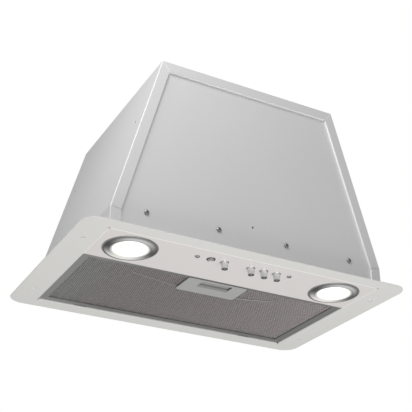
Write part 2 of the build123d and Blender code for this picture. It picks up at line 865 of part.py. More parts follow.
def scroll_point(degrees, grow):
    """A point of the scroll's spiral about the fan's axis, moved outwards."""
    turn = (degrees - scroll_nose_angle) / (360 - scroll_nose_angle)
    radius = scroll_start_radius + turn * (scroll_end_radius - scroll_start_radius) + grow
    angle = math.radians(degrees)
    return radius * math.cos(angle), radius * math.sin(angle)


def scroll_face(grow):
    """The scroll's section, drawn about the fan's axis with Y across and Z up."""
    step = (360 - scroll_nose_angle) / (scroll_point_count - 1)
    points = [scroll_point(scroll_nose_angle + i * step, grow) for i in range(scroll_point_count)]
    curve = Spline(*points)
    sector = make_face([curve, Line(points[-1], (0, 0)), Line((0, 0), points[0])])
    throat = rectangle((throat_front_offset - grow, scroll_end_radius + grow),
                       (0, scroll_top - fan_height))
    return Pos(fan_y, fan_height) * (sector + throat + Circle(scroll_start_radius + grow))


def scroll_boss_places():
    """Y and Z of the bosses that join the two halves, far enough out for a screw's head."""
    grow = scroll_wall + pan_head_radius + scroll_boss_clearance
    places = []
    for i in range(scroll_boss_count):
        y, z = scroll_point(scroll_boss_first_angle + i * scroll_boss_step_angle, grow)
        places.append((fan_y + y, fan_height + z))
    return places


def scroll_half(side):
    """One moulded half of the scroll, side -1 or 1, with its flared inlet."""
    outer = scroll_face(scroll_wall)
    inner = scroll_face(0)
    wall = sorted((side * scroll_half_width, side * scroll_side))
    wrap = sorted((0, side * scroll_half_width))
    half = along_x(outer, *wall) + along_x(outer - inner, *wrap)
    outside = inlet_radius + inlet_flare
    half_cut = scroll_side + cut_past
    half -= along_x(Pos(fan_y, fan_height) * Circle(outside), -half_cut, half_cut)
    bend = Circle(inlet_flare) - Circle(inlet_flare - scroll_wall)
    bend = Pos(outside, scroll_side - inlet_flare) * bend
    bend = bend & rectangle((inlet_radius, outside), (scroll_side - inlet_flare, scroll_side))
    flare = revolve(Plane.XZ * bend, axis=Axis.Z)
    half += about_fan(flare if side < 0 else Rot(180, 0, 0) * flare)
    reach = sorted((0, side * scroll_boss_height))
    for y, z in scroll_boss_places():
        half += along_x(Pos(y, z) * Circle(scroll_boss_radius) - outer, *reach)
    rim = throat_flange(scroll_top - throat_flange_sheet, scroll_top, screw_hole_radius)
    across = sorted((0, side * flange_width))
    half += rim & block(across, (-flange_width, flange_width), (0, body_height))
    for y, z in scroll_boss_places():
        half -= along_x(Pos(y, z) * Circle(screw_radius), *reach)
    return half


def throat_screw_places():
    """Places of the screws that join the scroll to the adaptor."""
    x = scroll_half_width + scroll_wall + throat_flange_width / 2
    middle = (throat_front + throat_back) / 2
    return [(side * x, y) for side in (-1, 1) for y in (throat_front, middle, throat_back)]


def throat_flange(low, high, hole_radius):
    """A flange round the scroll's rectangular outlet."""
    outer = rectangle((-scroll_half_width - throat_rim, scroll_half_width + throat_rim),
                      (throat_front - throat_rim, throat_back + throat_rim))
    inner = rectangle((-scroll_half_width, scroll_half_width), (throat_front, throat_back))
    plan = outer - inner
    for place in throat_screw_places():
        plan -= Pos(*place) * Circle(hole_radius)
    return along_z(plan, low, high)


def throat_screws():
    """Six screws from below that hold the scroll to the adaptor."""
    screw = pan_screw(pan_head_radius, pan_head_height, screw_radius, 2 * throat_flange_sheet)
    low = scroll_top - throat_flange_sheet
    return group([Pos(*place, low) * Rot(180, 0, 0) * screw for place in throat_screw_places()])


def scroll_screws():
    """Five screws that clamp the halves."""
    screw = pan_screw(pan_head_radius, pan_head_height, screw_radius - screw_hole_clearance,
                      2 * scroll_boss_height - scroll_screw_end_gap)
    return group([Pos(scroll_boss_height, y, z) * Rot(0, 90, 0) * screw
                  for y, z in scroll_boss_places()])


def blower_wheel():
    """A double-width wheel: centre disc, hub, two end rings and forward-curved blades."""
    hub_root = wheel_hub_radius + wheel_hub_taper
    profile = [(shaft_radius, wheel_hub_half_length), (wheel_hub_radius, wheel_hub_half_length),
               (hub_root, wheel_disc / 2), (wheel_radius, wheel_disc / 2)]
    wheel = turned(profile + [(radius, -z) for radius, z in reversed(profile)])
    ring = Circle(wheel_radius) - Circle(wheel_inner_radius)
    wheel += along_z(ring, -wheel_half_width, -wheel_half_width + wheel_ring)
    wheel += along_z(ring, wheel_half_width - wheel_ring, wheel_half_width)
    start = wheel_inner_radius + blade_sheet
    end = wheel_radius - blade_sheet
    middle = (start + end) / 2
    convex = ThreePointArc((start, 0), (middle, blade_bow), (end, -blade_bow))
    concave = ThreePointArc((end, -blade_bow - blade_sheet), (middle, blade_bow - blade_sheet),
                            (start, -blade_sheet))
    section = make_face([convex, Line(convex @ 1, concave @ 0), concave,
                         Line(concave @ 1, convex @ 0)])
    blade_half_length = wheel_half_width - wheel_ring / 2
    blade = along_z(section, -blade_half_length, blade_half_length)
    blades = [Rot(0, 0, i * 360 / blade_count) * blade for i in range(blade_count)]
    return about_fan(wheel + blades)


def motor_shaft():
    """The shaft, fixed in the wheel's hub and free in the motor's bearings."""
    return about_fan(upright_rod(shaft_radius, -wheel_hub_half_length, motor_back + motor_boss_length))


def motor_housing():
    """The motor: two end bells about a wider stack of laminations."""
    bell = motor_bell_length
    low = motor_front
    far = motor_back + motor_boss_length
    face = motor_radius - motor_face_taper
    profile = [(bearing_radius, low), (motor_boss_radius, low), (face, low + motor_face_rise),
               (motor_radius, low + motor_shoulder_length), (motor_radius, low + bell),
               (motor_stack_radius, low + bell), (motor_stack_radius, motor_back - bell),
               (motor_radius, motor_back - bell), (motor_radius, motor_back - motor_shoulder_length),
               (face, motor_back - motor_face_rise), (motor_boss_radius, motor_back),
               (motor_boss_radius, far), (bearing_radius, far)]
    return about_fan(turned(profile))


def motor_bearings():
    """Sleeve bearings at the two ends of the motor."""
    sleeve = Circle(bearing_radius) - Circle(shaft_radius + shaft_clearance)
    far = motor_back + motor_boss_length
    return group([about_fan(along_z(sleeve, motor_front, motor_front + bearing_length)),
                  about_fan(along_z(sleeve, far - bearing_length, far))])


def bracket_fixings():
    """Places of the bracket's screws, seen along the fan's axis."""
    return PolarLocations(bracket_fixing_radius, bracket_arm_count, bracket_first_angle)


def motor_bracket():
    """A ring on the motor's back boss with three arms to the scroll."""
    ring_radius = motor_boss_radius + bracket_ring_width
    arm = rectangle((motor_boss_radius, bracket_fixing_radius),
                    (-bracket_arm_width / 2, bracket_arm_width / 2))
    plan = Circle(ring_radius)
    for place in PolarLocations(0, bracket_arm_count, bracket_first_angle):
        plan += place * arm
    for place in bracket_fixings():
        plan += place * Circle(bracket_arm_width / 2)
        plan -= place * Circle(screw_hole_radius)
    plan -= Circle(motor_boss_radius)
    return about_fan(along_z(plan, motor_back, bracket_face))


def motor_isolators():
    """Rubber bushes between the bracket's arms and the scroll."""
    bush = along_z(Circle(isolator_radius) - Circle(screw_hole_radius), scroll_side, motor_back)
    return group([about_fan(place * bush) for place in bracket_fixings()])


def bracket_screws():
    """Three screws through the bracket and its bushes."""
    length = bracket_face - scroll_side
    screw = pan_screw(pan_head_radius, pan_head_height, screw_radius, length)
    return group([about_fan(place * Pos(0, 0, bracket_face) * screw)
                  for place in bracket_fixings()])


# ---- Outlet

def collar_fixings():
    """Places of the screws that clamp collar, top sheet and adaptor."""
    start = 180 / collar_screw_count
    circle = PolarLocations(collar_fixing_radius, collar_screw_count, start)
    return [Pos(0, collar_offset) * place for place in circle]


def outlet_adaptor():
    """The moulded passage from the scroll's rectangular throat to the round outlet."""
    shells = []
    start = scroll_top + throat_flange_sheet
    for grow in (adaptor_wall, 0):
        throat = rectangle((-scroll_half_width - grow, scroll_half_width + grow),
                           (throat_front - grow, throat_back + grow))
        mouth = Pos(0, collar_offset) * Circle(collar_bore_radius - adaptor_wall + grow)
        shells.append(loft([Pos(0, 0, start) * throat, Pos(0, 0, adaptor_top) * mouth]))
    flange = Circle(collar_flange_radius) - Circle(collar_bore_radius - adaptor_wall)
    flange = Pos(0, collar_offset) * along_z(flange, adaptor_top, top_underside)
    adaptor = shells[0] - shells[1] + flange
    adaptor += throat_flange(scroll_top, start, screw_radius)
    for place in collar_fixings():
        adaptor -= place * upright_rod(screw_radius, adaptor_top - cut_past, top_underside + cut_past)
    return adaptor


def outlet_collar():
    """The round spigot for the duct, with a ledge that the flaps rest on."""
    stop_top = flap_pin_z - flap_sheet / 2 - flap_stop_gap
    stop_low = stop_top - flap_stop_height
    stop_radius = collar_bore_radius - flap_stop_width
    low = body_height
    high = low + collar_height
    root = collar_root_chamfer
    lip = collar_lip_chamfer
    collar = turned([(collar_bore_radius, low), (collar_flange_radius, low),
                     (collar_flange_radius, collar_base), (collar_radius + root, collar_base),
                     (collar_radius, collar_base + root), (collar_radius, high - lip),
                     (collar_radius - lip, high), (collar_bore_radius, high),
                     (collar_bore_radius, stop_top), (stop_radius, stop_top),
                     (stop_radius, stop_low), (collar_bore_radius, stop_low - flap_stop_width)])
    collar = Pos(0, collar_offset) * collar
    pin_hole = Pos(collar_offset, flap_pin_z) * Circle(flap_pin_radius)
    collar -= along_x(pin_hole, -collar_radius, collar_radius)
    for place in collar_fixings():
        collar -= place * upright_rod(screw_hole_radius, low - cut_past, collar_base + cut_past)
    return collar


def collar_screws():
    """The screws that clamp the collar through the top sheet."""
    screw = pan_screw(pan_head_radius, pan_head_height, screw_radius - screw_hole_clearance,
                      collar_base - adaptor_top)
    return group([place * Pos(0, 0, collar_base) * screw for place in collar_fixings()])


def flap_pin():
    """The wire that both flaps turn on."""
    pin = Pos(collar_offset, flap_pin_z) * Circle(flap_pin_radius)
    half = collar_radius - flap_pin_inset
    return along_x(pin, -half, half)


def damper_flap(side):
    """One half-moon flap, side -1 in front of the pin or 1 behind it."""
    radius = collar_bore_radius - flap_rim_clearance
    gap = flap_barrel_radius + flap_barrel_gap
    disc = along_z(Circle(radius), -flap_sheet / 2, flap_sheet / 2)
    reach = sorted((side * gap, side * 2 * radius))
    flap = disc & block((-radius, radius), reach, (-flap_sheet, flap_sheet))
    step = flap_barrel_length + flap_barrel_gap
    barrel = Circle(flap_barrel_radius) - Circle(flap_pin_radius + flap_pin_clearance)
    web_start = flap_pin_radius + flap_pin_clearance + flap_web_gap
    for start in (-2 * step, 0):
        low = start + flap_barrel_gap / 2 + (step if side > 0 else 0)
        web = sorted((side * web_start, side * gap))
        flap += along_x(barrel, low, low + flap_barrel_length)
        flap += block((low, low + flap_barrel_length), web, (-flap_sheet / 2, flap_sheet / 2))
    return Pos(0, collar_offset, flap_pin_z) * flap


# ---- Electrical parts

def terminal_box():
    """A moulded box under the top sheet, open at the bottom."""
    half = (terminal_box_width / 2, terminal_box_depth / 2)
    low = top_underside - terminal_box_height
    box = block((-half[0], half[0]), (-half[1], half[1]), (low, top_underside))
    box = fillet(box.edges().filter_by(Axis.Z), 2 * terminal_box_wall)
    wall = terminal_box_wall
    box -= block((wall - half[0], half[0] - wall), (wall - half[1], half[1] - wall),
                 (low - cut_past, top_underside - wall))
    box -= upright_rod(gland_thread_radius + gland_clearance, low, top_underside + cut_past)
    return Pos(terminal_box_x, terminal_box_y) * box


def terminal_box_lid():
    """The lid that closes the box from below."""
    top = top_underside - terminal_box_height
    lid = along_z(RectangleRounded(terminal_box_width, terminal_box_depth, 2 * terminal_box_wall),
                  top - terminal_box_wall, top)
    return Pos(terminal_box_x, terminal_box_y) * lid


def cable_gland():
    """The gland that the supply lead goes in through."""
    body = hex_nut(gland_bore_radius, gland_nut_radius, body_height, body_height + gland_nut_height)
    thread = Circle(gland_thread_radius) - Circle(gland_bore_radius)
    body += along_z(thread, top_underside - gland_depth, body_height)
    low = body_height + gland_nut_height
    body += turned([(gland_bore_radius, low), (gland_dome_base_radius, low),
                    (gland_dome_top_radius, low + gland_dome_shoulder),
                    (gland_bore_radius, low + gland_dome_height)])
    return Pos(terminal_box_x, terminal_box_y) * body


def gland_nut():
    """The nut inside the terminal box that clamps gland, top sheet and box."""
    high = top_underside - terminal_box_wall
    nut = hex_nut(gland_thread_radius, gland_lock_nut_radius, high - gland_lock_nut_height, high)
    return Pos(terminal_box_x, terminal_box_y) * nut


def run_capacitor():
    """The motor's capacitor can, which hangs below the top sheet."""
    top = top_underside - capacitor_drop
    can = upright_rod(capacitor_radius, top - capacitor_height, top)
    can = fillet(can.edges().group_by(Axis.Z)[0], capacitor_round)
    tag = block((-capacitor_tag_width / 2, capacitor_tag_width / 2),
                (-capacitor_tag_sheet / 2, capacitor_tag_sheet / 2),
                (top, top + capacitor_tag_height))
    for x in (-capacitor_tag_spacing / 2, capacitor_tag_spacing / 2):
        can += Pos(x, 0) * tag
    return Pos(capacitor_x, capacitor_y) * can


def capacitor_clip():
    """A band round the can with a tab that is fixed to the top sheet."""
    outer = capacitor_radius + capacitor_band
    top = top_underside - capacitor_drop - capacitor_band_drop
    width = (-capacitor_clip_width / 2, capacitor_clip_width / 2)
    band = along_z(Circle(outer) - Circle(capacitor_radius), top - capacitor_band_height, top)
    tab = block((-outer - capacitor_clip_reach, -capacitor_radius), width,
                (top_underside - capacitor_band, top_underside))
    riser = block((-outer, -capacitor_radius), width,
                  (top - capacitor_band_height / 2, top_underside))
    return Pos(capacitor_x, capacitor_y) * (band + tab + riser)


def led_driver():
    """The sealed supply for the lamps, stuck under the top sheet."""
    box = block((-driver_width / 2, driver_width / 2), (-driver_depth / 2, driver_depth / 2),
                (top_underside - driver_height, top_underside))
    box = fillet(box.edges().filter_by(Axis.Z), driver_round)
    return Pos(driver_x, driver_y) * box


# ---- Nodes

button_names = ["light_button", "stop_button", "speed_1_button", "speed_2_button", "speed_3_button"]

nodes = {
    "flange_frame": flange_frame(),
    "body_wrapper": body_wrapper(),
    "front_plate": front_plate(),
    "front_plate_screws": front_plate_screws(),
    "front_plate_nuts": front_plate_nuts(),
    "rear_panel": rear_panel(),
    "control_panel": control_panel(),
    "bank_screws": bank_screws(),
    "switch_bank": switch_bank(),
    "switch_bank_cover": switch_bank_cover(),
    "button_bezels": button_bezels(),
    "lamp_ring_left": lamp_ring(-lamp_spacing / 2),
    "lamp_ring_right": lamp_ring(lamp_spacing / 2),
    "lamp_glass_left": lamp_glass(-lamp_spacing / 2),
    "lamp_glass_right": lamp_glass(lamp_spacing / 2),
    "lamp_body_left": lamp_body(-lamp_spacing / 2),
    "lamp_body_right": lamp_body(lamp_spacing / 2),
    "lamp_clips": lamp_clips(),
    "filter_frame": filter_frame(),
    "filter_mesh_lower": filter_mesh(mesh_face),
    "filter_core": filter_core(),
    "filter_mesh_upper": filter_mesh(mesh_top - mesh_sheet),
    "latch_plate": latch_plate(),
    "latch_slider": latch_slider(),
    "latch_spring": latch_spring(),
    "scroll_half_left": scroll_half(-1),
    "scroll_half_right": scroll_half(1),
    "scroll_screws": scroll_screws(),
    "throat_screws": throat_screws(),
    "blower_wheel": blower_wheel(),
    "motor_shaft": motor_shaft(),
    "motor_housing": motor_housing(),
    "motor_bearings": motor_bearings(),
    "motor_bracket": motor_bracket(),
    "motor_isolators": motor_isolators(),
    "bracket_screws": bracket_screws(),
    "outlet_adaptor": outlet_adaptor(),
    "outlet_collar": outlet_collar(),
    "collar_screws": collar_screws(),
    "flap_pin": flap_pin(),
    "damper_flap_front": damper_flap(-1),
    "damper_flap_back": damper_flap(1),
    "terminal_box": terminal_box(),
    "terminal_box_lid": terminal_box_lid(),
    "cable_gland": cable_gland(),
    "gland_nut": gland_nut(),
    "run_capacitor": run_capacitor(),
    "capacitor_clip": capacitor_clip(),
    "led_driver": led_driver(),
}
for name, x in zip(button_names, button_places):
    nodes[name] = push_button(x, button_travel if name == "light_button" else 0)

os.makedirs("parts", exist_ok=True)
for name, shape in nodes.items():
    export_step(shape, f"parts/{name}.step")
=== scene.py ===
import bmesh
import bpy
import math
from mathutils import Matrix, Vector


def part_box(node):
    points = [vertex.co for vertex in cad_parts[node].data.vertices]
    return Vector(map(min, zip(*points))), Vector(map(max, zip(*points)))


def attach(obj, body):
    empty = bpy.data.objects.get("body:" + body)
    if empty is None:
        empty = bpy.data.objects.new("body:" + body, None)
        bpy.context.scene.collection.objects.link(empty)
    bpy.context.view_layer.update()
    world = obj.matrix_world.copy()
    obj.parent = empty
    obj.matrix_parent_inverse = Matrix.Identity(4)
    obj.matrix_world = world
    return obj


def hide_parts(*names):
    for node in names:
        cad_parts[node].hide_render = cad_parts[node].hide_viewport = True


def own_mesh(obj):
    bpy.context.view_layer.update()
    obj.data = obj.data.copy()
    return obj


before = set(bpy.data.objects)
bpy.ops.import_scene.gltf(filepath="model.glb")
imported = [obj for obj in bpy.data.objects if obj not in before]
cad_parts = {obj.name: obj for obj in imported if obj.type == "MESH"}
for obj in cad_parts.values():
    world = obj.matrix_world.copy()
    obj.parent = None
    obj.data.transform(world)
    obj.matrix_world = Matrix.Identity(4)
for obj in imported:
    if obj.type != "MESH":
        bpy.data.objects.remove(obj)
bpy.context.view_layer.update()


# ---- Flange
# The rim that is screwed up against the cabinet: 1.2 mm sheet steel with a baked satin enamel.
# The enamel has a very fine orange-peel skin and almost no change of tone.

slow_scale = 9.0
noise_detail = 3.0
noise_middle = 0.5
gloss_swing = 0.12


def placed(tree, kind, inputs=None, **settings):
    """A node with its settings; each input is given a value or the socket that feeds it."""
    node = tree.nodes.new(kind)
    for label, value in settings.items():
        setattr(node, label, value)
    for label, value in (inputs or {}).items():
        if isinstance(value, bpy.types.NodeSocket):
            tree.links.new(value, node.inputs[label])
        else:
            node.inputs[label].default_value = value
    return node


def worked(tree, operation, *values):
    """The result of a Math node on numbers and sockets."""
    return placed(tree, "ShaderNodeMath", dict(enumerate(values)), operation=operation).outputs[0]


def with_sockets(tree, inputs, outputs):
    """Gives a node group its named sockets; returns the tree and its two end nodes."""
    for label, kind, value in inputs:
        socket = tree.interface.new_socket(label, in_out="INPUT", socket_type=kind)
        if value is not None:
            socket.default_value = value
    for label, kind in outputs:
        tree.interface.new_socket(label, in_out="OUTPUT", socket_type=kind)
    return tree, tree.nodes.new("NodeGroupInput").outputs, tree.nodes.new("NodeGroupOutput")


def skin_group():
    """Fine skin of a coat or a moulding: slow change of tone, fine grain in gloss and height."""
    tree, given, result = with_sockets(
        bpy.data.node_groups.new("skin", "ShaderNodeTree"),
        [("Colour", "NodeSocketColor", (0.8, 0.8, 0.8, 1)), ("Roughness", "NodeSocketFloat", 0.4),
         ("Tone Change", "NodeSocketFloat", 0.03), ("Grain Scale", "NodeSocketFloat", 900.0)],
        [("Colour", "NodeSocketColor"), ("Roughness", "NodeSocketFloat"),
         ("Height", "NodeSocketFloat")])
    place = placed(tree, "ShaderNodeTexCoord").outputs["Object"]
    slow = placed(tree, "ShaderNodeTexNoise",
                  {"Vector": place, "Scale": slow_scale, "Detail": noise_detail}).outputs["Fac"]
    fine = placed(tree, "ShaderNodeTexNoise", {"Vector": place, "Scale": given["Grain Scale"],
                                               "Detail": noise_detail}).outputs["Fac"]
    swing = worked(tree, "MULTIPLY", worked(tree, "SUBTRACT", slow, noise_middle),
                   given["Tone Change"])
    tint = placed(tree, "ShaderNodeHueSaturation",
                  {"Color": given["Colour"], "Value": worked(tree, "ADD", swing, 1.0)})
    gloss = worked(tree, "MULTIPLY", worked(tree, "SUBTRACT", fine, noise_middle), gloss_swing)
    tree.links.new(tint.outputs["Color"], result.inputs["Colour"])
    tree.links.new(worked(tree, "ADD", gloss, given["Roughness"]), result.inputs["Roughness"])
    tree.links.new(fine, result.inputs["Height"])
    return tree


skin = skin_group()


def coated(name, colour, roughness, tone=0.03, grain=900.0, depth=0.00002, metallic=0.0,
           coat=0.0):
    """A material with the skin group: enamel, moulded plastic, cast or ground metal."""
    material = bpy.data.materials.new(name)
    material.use_nodes = True
    tree = material.node_tree
    shader = tree.nodes["Principled BSDF"]
    shader.inputs["Metallic"].default_value = metallic
    shader.inputs["Coat Weight"].default_value = coat
    surface = placed(tree, "ShaderNodeGroup", node_tree=skin)
    surface.name = "surface"
    surface.inputs["Colour"].default_value = (*colour, 1)
    surface.inputs["Roughness"].default_value = roughness
    surface.inputs["Tone Change"].default_value = tone
    surface.inputs["Grain Scale"].default_value = grain
    bump = placed(tree, "ShaderNodeBump", {"Distance": depth, "Strength": 1.0,
                                           "Height": surface.outputs["Height"]})
    tree.links.new(surface.outputs["Colour"], shader.inputs["Base Color"])
    tree.links.new(surface.outputs["Roughness"], shader.inputs["Roughness"])
    tree.links.new(bump.outputs["Normal"], shader.inputs["Normal"])
    return material


def dress(material, *nodes):
    """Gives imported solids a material."""
    for name in nodes:
        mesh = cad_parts[name].data
        mesh.materials.clear()
        mesh.materials.append(material)


flange_enamel = coated("flange_enamel", (0.60, 0.595, 0.575), 0.42)
dress(flange_enamel, "flange_frame")


# ---- Body
# One folded sheet with the front plate and the rear panel behind its returns. All are sheet
# steel in a light grey enamel with a trace of metal flake.

mm = 0.001
body_grey = (0.565, 0.565, 0.57)
lip_painted_light = (0.88, 0.88, 0.88)
body_low, body_high = (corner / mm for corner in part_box("body_wrapper"))
body_middle = (body_low.y + body_high.y) / 2
body_half_depth = (body_high.y - body_low.y) / 2
lip_inset = 2.1
lip_half = 1.85
lip_reach = 212.0
lip_top = 280.0
skirt_height = 30.0
side_slope = 0.271

body_enamel, lip_painted_light_enamel = (
    coated(name, body_grey, 0.46, tone=0.04, grain=1400.0, metallic=0.15)
    for name in ("body_enamel", "lip_painted_light_enamel"))


def shaded_point(tree):
    """The X, Y and Z sockets of the point that is shaded, in metres."""
    place = placed(tree, "ShaderNodeTexCoord").outputs["Object"]
    return placed(tree, "ShaderNodeSeparateXYZ", {"Vector": place}).outputs


def paint_light_on_lips(material, light):
    """Painted light: a lighter enamel on the lips that the returns turn inwards, up to the top and
    the sides.
    """
    tree = material.node_tree
    colour = tree.nodes["surface"].inputs["Colour"]
    spot = shaded_point(tree)
    deep = worked(tree, "ABSOLUTE", worked(tree, "SUBTRACT", spot["Y"], body_middle * mm))
    deep = worked(tree, "COMPARE", deep, (body_half_depth - lip_inset) * mm, lip_half * mm)
    rise = worked(tree, "MAXIMUM", worked(tree, "SUBTRACT", spot["Z"], skirt_height * mm), 0.0)
    inward = worked(tree, "MULTIPLY_ADD", rise, side_slope, worked(tree, "ABSOLUTE", spot["X"]))
    inward = worked(tree, "LESS_THAN", inward, lip_reach * mm)
    low = worked(tree, "LESS_THAN", spot["Z"], lip_top * mm)
    lip_light_mask = worked(tree, "MULTIPLY", worked(tree, "MULTIPLY", deep, inward), low)
    blend = placed(tree, "ShaderNodeMix", {"Factor": lip_light_mask, "A": tuple(colour.default_value),
                                           "B": (*light, 1)}, data_type="RGBA")
    tree.links.new(blend.outputs["Result"], colour)


# Painted light: the returns' lips get a lighter grey than the body's enamel.
paint_light_on_lips(lip_painted_light_enamel, lip_painted_light)
dress(lip_painted_light_enamel, "body_wrapper")
dress(body_enamel, "front_plate", "rear_panel")


# ---- Mitre welds
# The corners of the returns are closed by a thin weld bead that is ground and enamelled. It
# stands a little proud and catches the light; its grey is lighter than the body's, a painted
# highlight.

weld_half = 0.35
weld_proud = 0.12
weld_sink = 0.05
weld_outer = (150.05, 288.4)
weld_inner = (139.75, 275.0)
weld_across = (0.79, -0.61)


def linked(name, data):
    """An object in the scene, at the origin."""
    piece = bpy.data.objects.new(name, data)
    bpy.context.scene.collection.objects.link(piece)
    return piece


def beads(name, material, runs):
    """Straight beads in one piece; each run is its section at one end and at the other."""
    corners, faces = [], []
    for first, last in runs:
        count = len(first)
        start = len(corners)
        corners += [[v * mm for v in place] for place in first + last]
        faces += [[start + i, start + (i + 1) % count, start + count + (i + 1) % count,
                   start + count + i] for i in range(count)]
        faces += [[start + i for i in range(count)], [start + count + i for i in range(count)]]
    mesh = bpy.data.meshes.new(name)
    mesh.from_pydata(corners, [], faces)
    mesh.materials.append(material)
    return linked(name, mesh)


def weld_section(place, side, face, out):
    """Across a mitre: flat underneath, with a low crown as wide as half the bead."""
    x, z = place
    across_x, across_z = weld_across
    return [(side * (x + share * weld_half * across_x), face + out * rise,
             z + share * weld_half * across_z)
            for share, rise in ((-1, 0), (-0.5, weld_proud), (0.5, weld_proud), (1, 0))]


def smoothed(piece, sharp=38.0, caps=False):
    """Turns a piece's faces outwards and shades it smooth apart from its sharp edges."""
    shape = bmesh.new()
    shape.from_mesh(piece.data)
    if caps:
        bmesh.ops.holes_fill(shape, edges=[edge for edge in shape.edges if edge.is_boundary])
    bmesh.ops.recalc_face_normals(shape, faces=shape.faces)
    for face in shape.faces:
        face.smooth = True
    for edge in shape.edges:
        edge.smooth = edge.calc_face_angle(math.pi) < math.radians(sharp)
    shape.to_mesh(piece.data)
    shape.free()
    return piece


# Painted highlight: the bead's grey is lighter than the body's enamel.
weld_painted_highlight = coated("weld_painted_highlight", (0.78, 0.78, 0.78), 0.3, grain=700.0)
weld_runs = []
for side in (-1, 1):
    for face, out in ((body_low.y + weld_sink, -1), (body_high.y - weld_sink, 1)):
        weld_runs.append((weld_section(weld_outer, side, face, out),
                          weld_section(weld_inner, side, face, out)))
welds = smoothed(beads("mitre_welds", weld_painted_highlight, weld_runs))
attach(welds, "root")


# ---- Screws and nuts
# Pan-head screws with a cross recess and a rolled thread, zinc plated: a cool grey with a
# slightly uneven, matt gloss. They hold the front plate, switch bank, scroll, motor and outlet.

zinc = coated("zinc_plate", (0.30, 0.30, 0.31), 0.34, tone=0.15, grain=1500.0, metallic=0.85)
seam_gap = 0.002


def turned_tree():
    """Turns a row of profile points about Z, cuts a cross into its top, and repeats it."""
    tree, given, result = with_sockets(
        bpy.data.node_groups.new("turned_part", "GeometryNodeTree"),
        [("Geometry", "NodeSocketGeometry", None), ("Around", "NodeSocketInt", 24),
         ("Turn", "NodeSocketVector", (0, 0, 0)), ("Recess Top", "NodeSocketFloat", 0.0),
         ("Recess Width", "NodeSocketFloat", 0.0), ("Recess Reach", "NodeSocketFloat", 0.0),
         ("Recess Depth", "NodeSocketFloat", 0.0), ("Finish", "NodeSocketMaterial", None)],
        [("Geometry", "NodeSocketGeometry")])
    marked = placed(tree, "GeometryNodeInputNamedAttribute", {"Name": "is_place"},
                    data_type="BOOLEAN").outputs["Attribute"]
    split = placed(tree, "GeometryNodeSeparateGeometry",
                   {"Geometry": given["Geometry"], "Selection": marked}, domain="POINT").outputs
    rows = placed(tree, "GeometryNodeAttributeDomainSize",
                  {"Geometry": split["Inverted"]}).outputs["Point Count"]
    grid = placed(tree, "GeometryNodeMeshGrid",
                  {"Size X": 1.0, "Size Y": 1.0, "Vertices X": rows,
                   "Vertices Y": worked(tree, "ADD", given["Around"], 1)}).outputs["Mesh"]
    spot = placed(tree, "GeometryNodeInputPosition").outputs[0]
    flat = placed(tree, "ShaderNodeSeparateXYZ", {"Vector": spot}).outputs
    share = worked(tree, "MULTIPLY", worked(tree, "ADD", flat["X"], 0.5),
                   worked(tree, "SUBTRACT", rows, 1))
    sample = placed(tree, "GeometryNodeSampleIndex",
                    {"Geometry": split["Inverted"], "Value": spot,
                     "Index": worked(tree, "ROUND", share)}, data_type="FLOAT_VECTOR").outputs[0]
    point = placed(tree, "ShaderNodeSeparateXYZ", {"Vector": sample}).outputs
    angle = worked(tree, "MULTIPLY", flat["Y"], 2 * math.pi)
    ring = placed(tree, "ShaderNodeCombineXYZ",
                  {"X": worked(tree, "MULTIPLY", point["X"], worked(tree, "COSINE", angle)),
                   "Y": worked(tree, "MULTIPLY", point["X"], worked(tree, "SINE", angle)),
                   "Z": point["Z"]}).outputs[0]
    shell = placed(tree, "GeometryNodeSetPosition", {"Geometry": grid, "Position": ring})
    shell = placed(tree, "GeometryNodeMergeByDistance",
                   {"Geometry": shell.outputs[0], "Distance": seam_gap * mm}).outputs[0]
    cuts = placed(tree, "GeometryNodeJoinGeometry")
    height = placed(tree, "ShaderNodeCombineXYZ", {"Z": given["Recess Top"]}).outputs[0]
    deep = worked(tree, "MULTIPLY", given["Recess Depth"], 2.0)
    for x, y in (("Recess Reach", "Recess Width"), ("Recess Width", "Recess Reach")):
        size = placed(tree, "ShaderNodeCombineXYZ", {"X": given[x], "Y": given[y], "Z": deep})
        bar = placed(tree, "GeometryNodeMeshCube", {"Size": size.outputs[0]}).outputs["Mesh"]
        bar = placed(tree, "GeometryNodeTransform", {"Geometry": bar, "Translation": height})
        tree.links.new(bar.outputs[0], cuts.inputs[0])
    cut = placed(tree, "GeometryNodeMeshBoolean", {"Mesh 1": shell, "Mesh 2": cuts.outputs[0]},
                 operation="DIFFERENCE", solver="EXACT")
    cut.inputs["Self Intersection"].default_value = True
    chosen = placed(tree, "GeometryNodeSwitch",
                    {"Switch": worked(tree, "GREATER_THAN", given["Recess Depth"], 0.0),
                     "False": shell, "True": cut.outputs["Mesh"]}, input_type="GEOMETRY")
    turn = placed(tree, "FunctionNodeEulerToRotation", {"Euler": given["Turn"]}).outputs[0]
    copies = placed(tree, "GeometryNodeInstanceOnPoints",
                    {"Points": split["Selection"], "Instance": chosen.outputs[0],
                     "Rotation": turn}).outputs[0]
    solid = placed(tree, "GeometryNodeRealizeInstances", {"Geometry": copies}).outputs[0]
    dressed = placed(tree, "GeometryNodeSetMaterial",
                     {"Geometry": solid, "Material": given["Finish"]}).outputs[0]
    tree.links.new(dressed, result.inputs["Geometry"])
    return tree


def as_mesh(piece):
    """The plain mesh that a piece's modifiers or its curve give."""
    ready = piece.evaluated_get(bpy.context.evaluated_depsgraph_get())
    return bpy.data.meshes.new_from_object(ready)


def grown(name, mesh, tree, values):
    """Runs a Geometry Nodes tree over a mesh and keeps the result as a plain mesh piece."""
    piece = linked(name, mesh)
    modifier = piece.modifiers.new("shape", "NODES")
    modifier.node_group = tree
    for item in tree.interface.items_tree:
        if item.in_out == "INPUT" and item.name in values:
            modifier[item.identifier] = values[item.name]
    shape = as_mesh(piece)
    piece.modifiers.remove(modifier)
    piece.data = shape
    return piece


turned_parts = turned_tree()


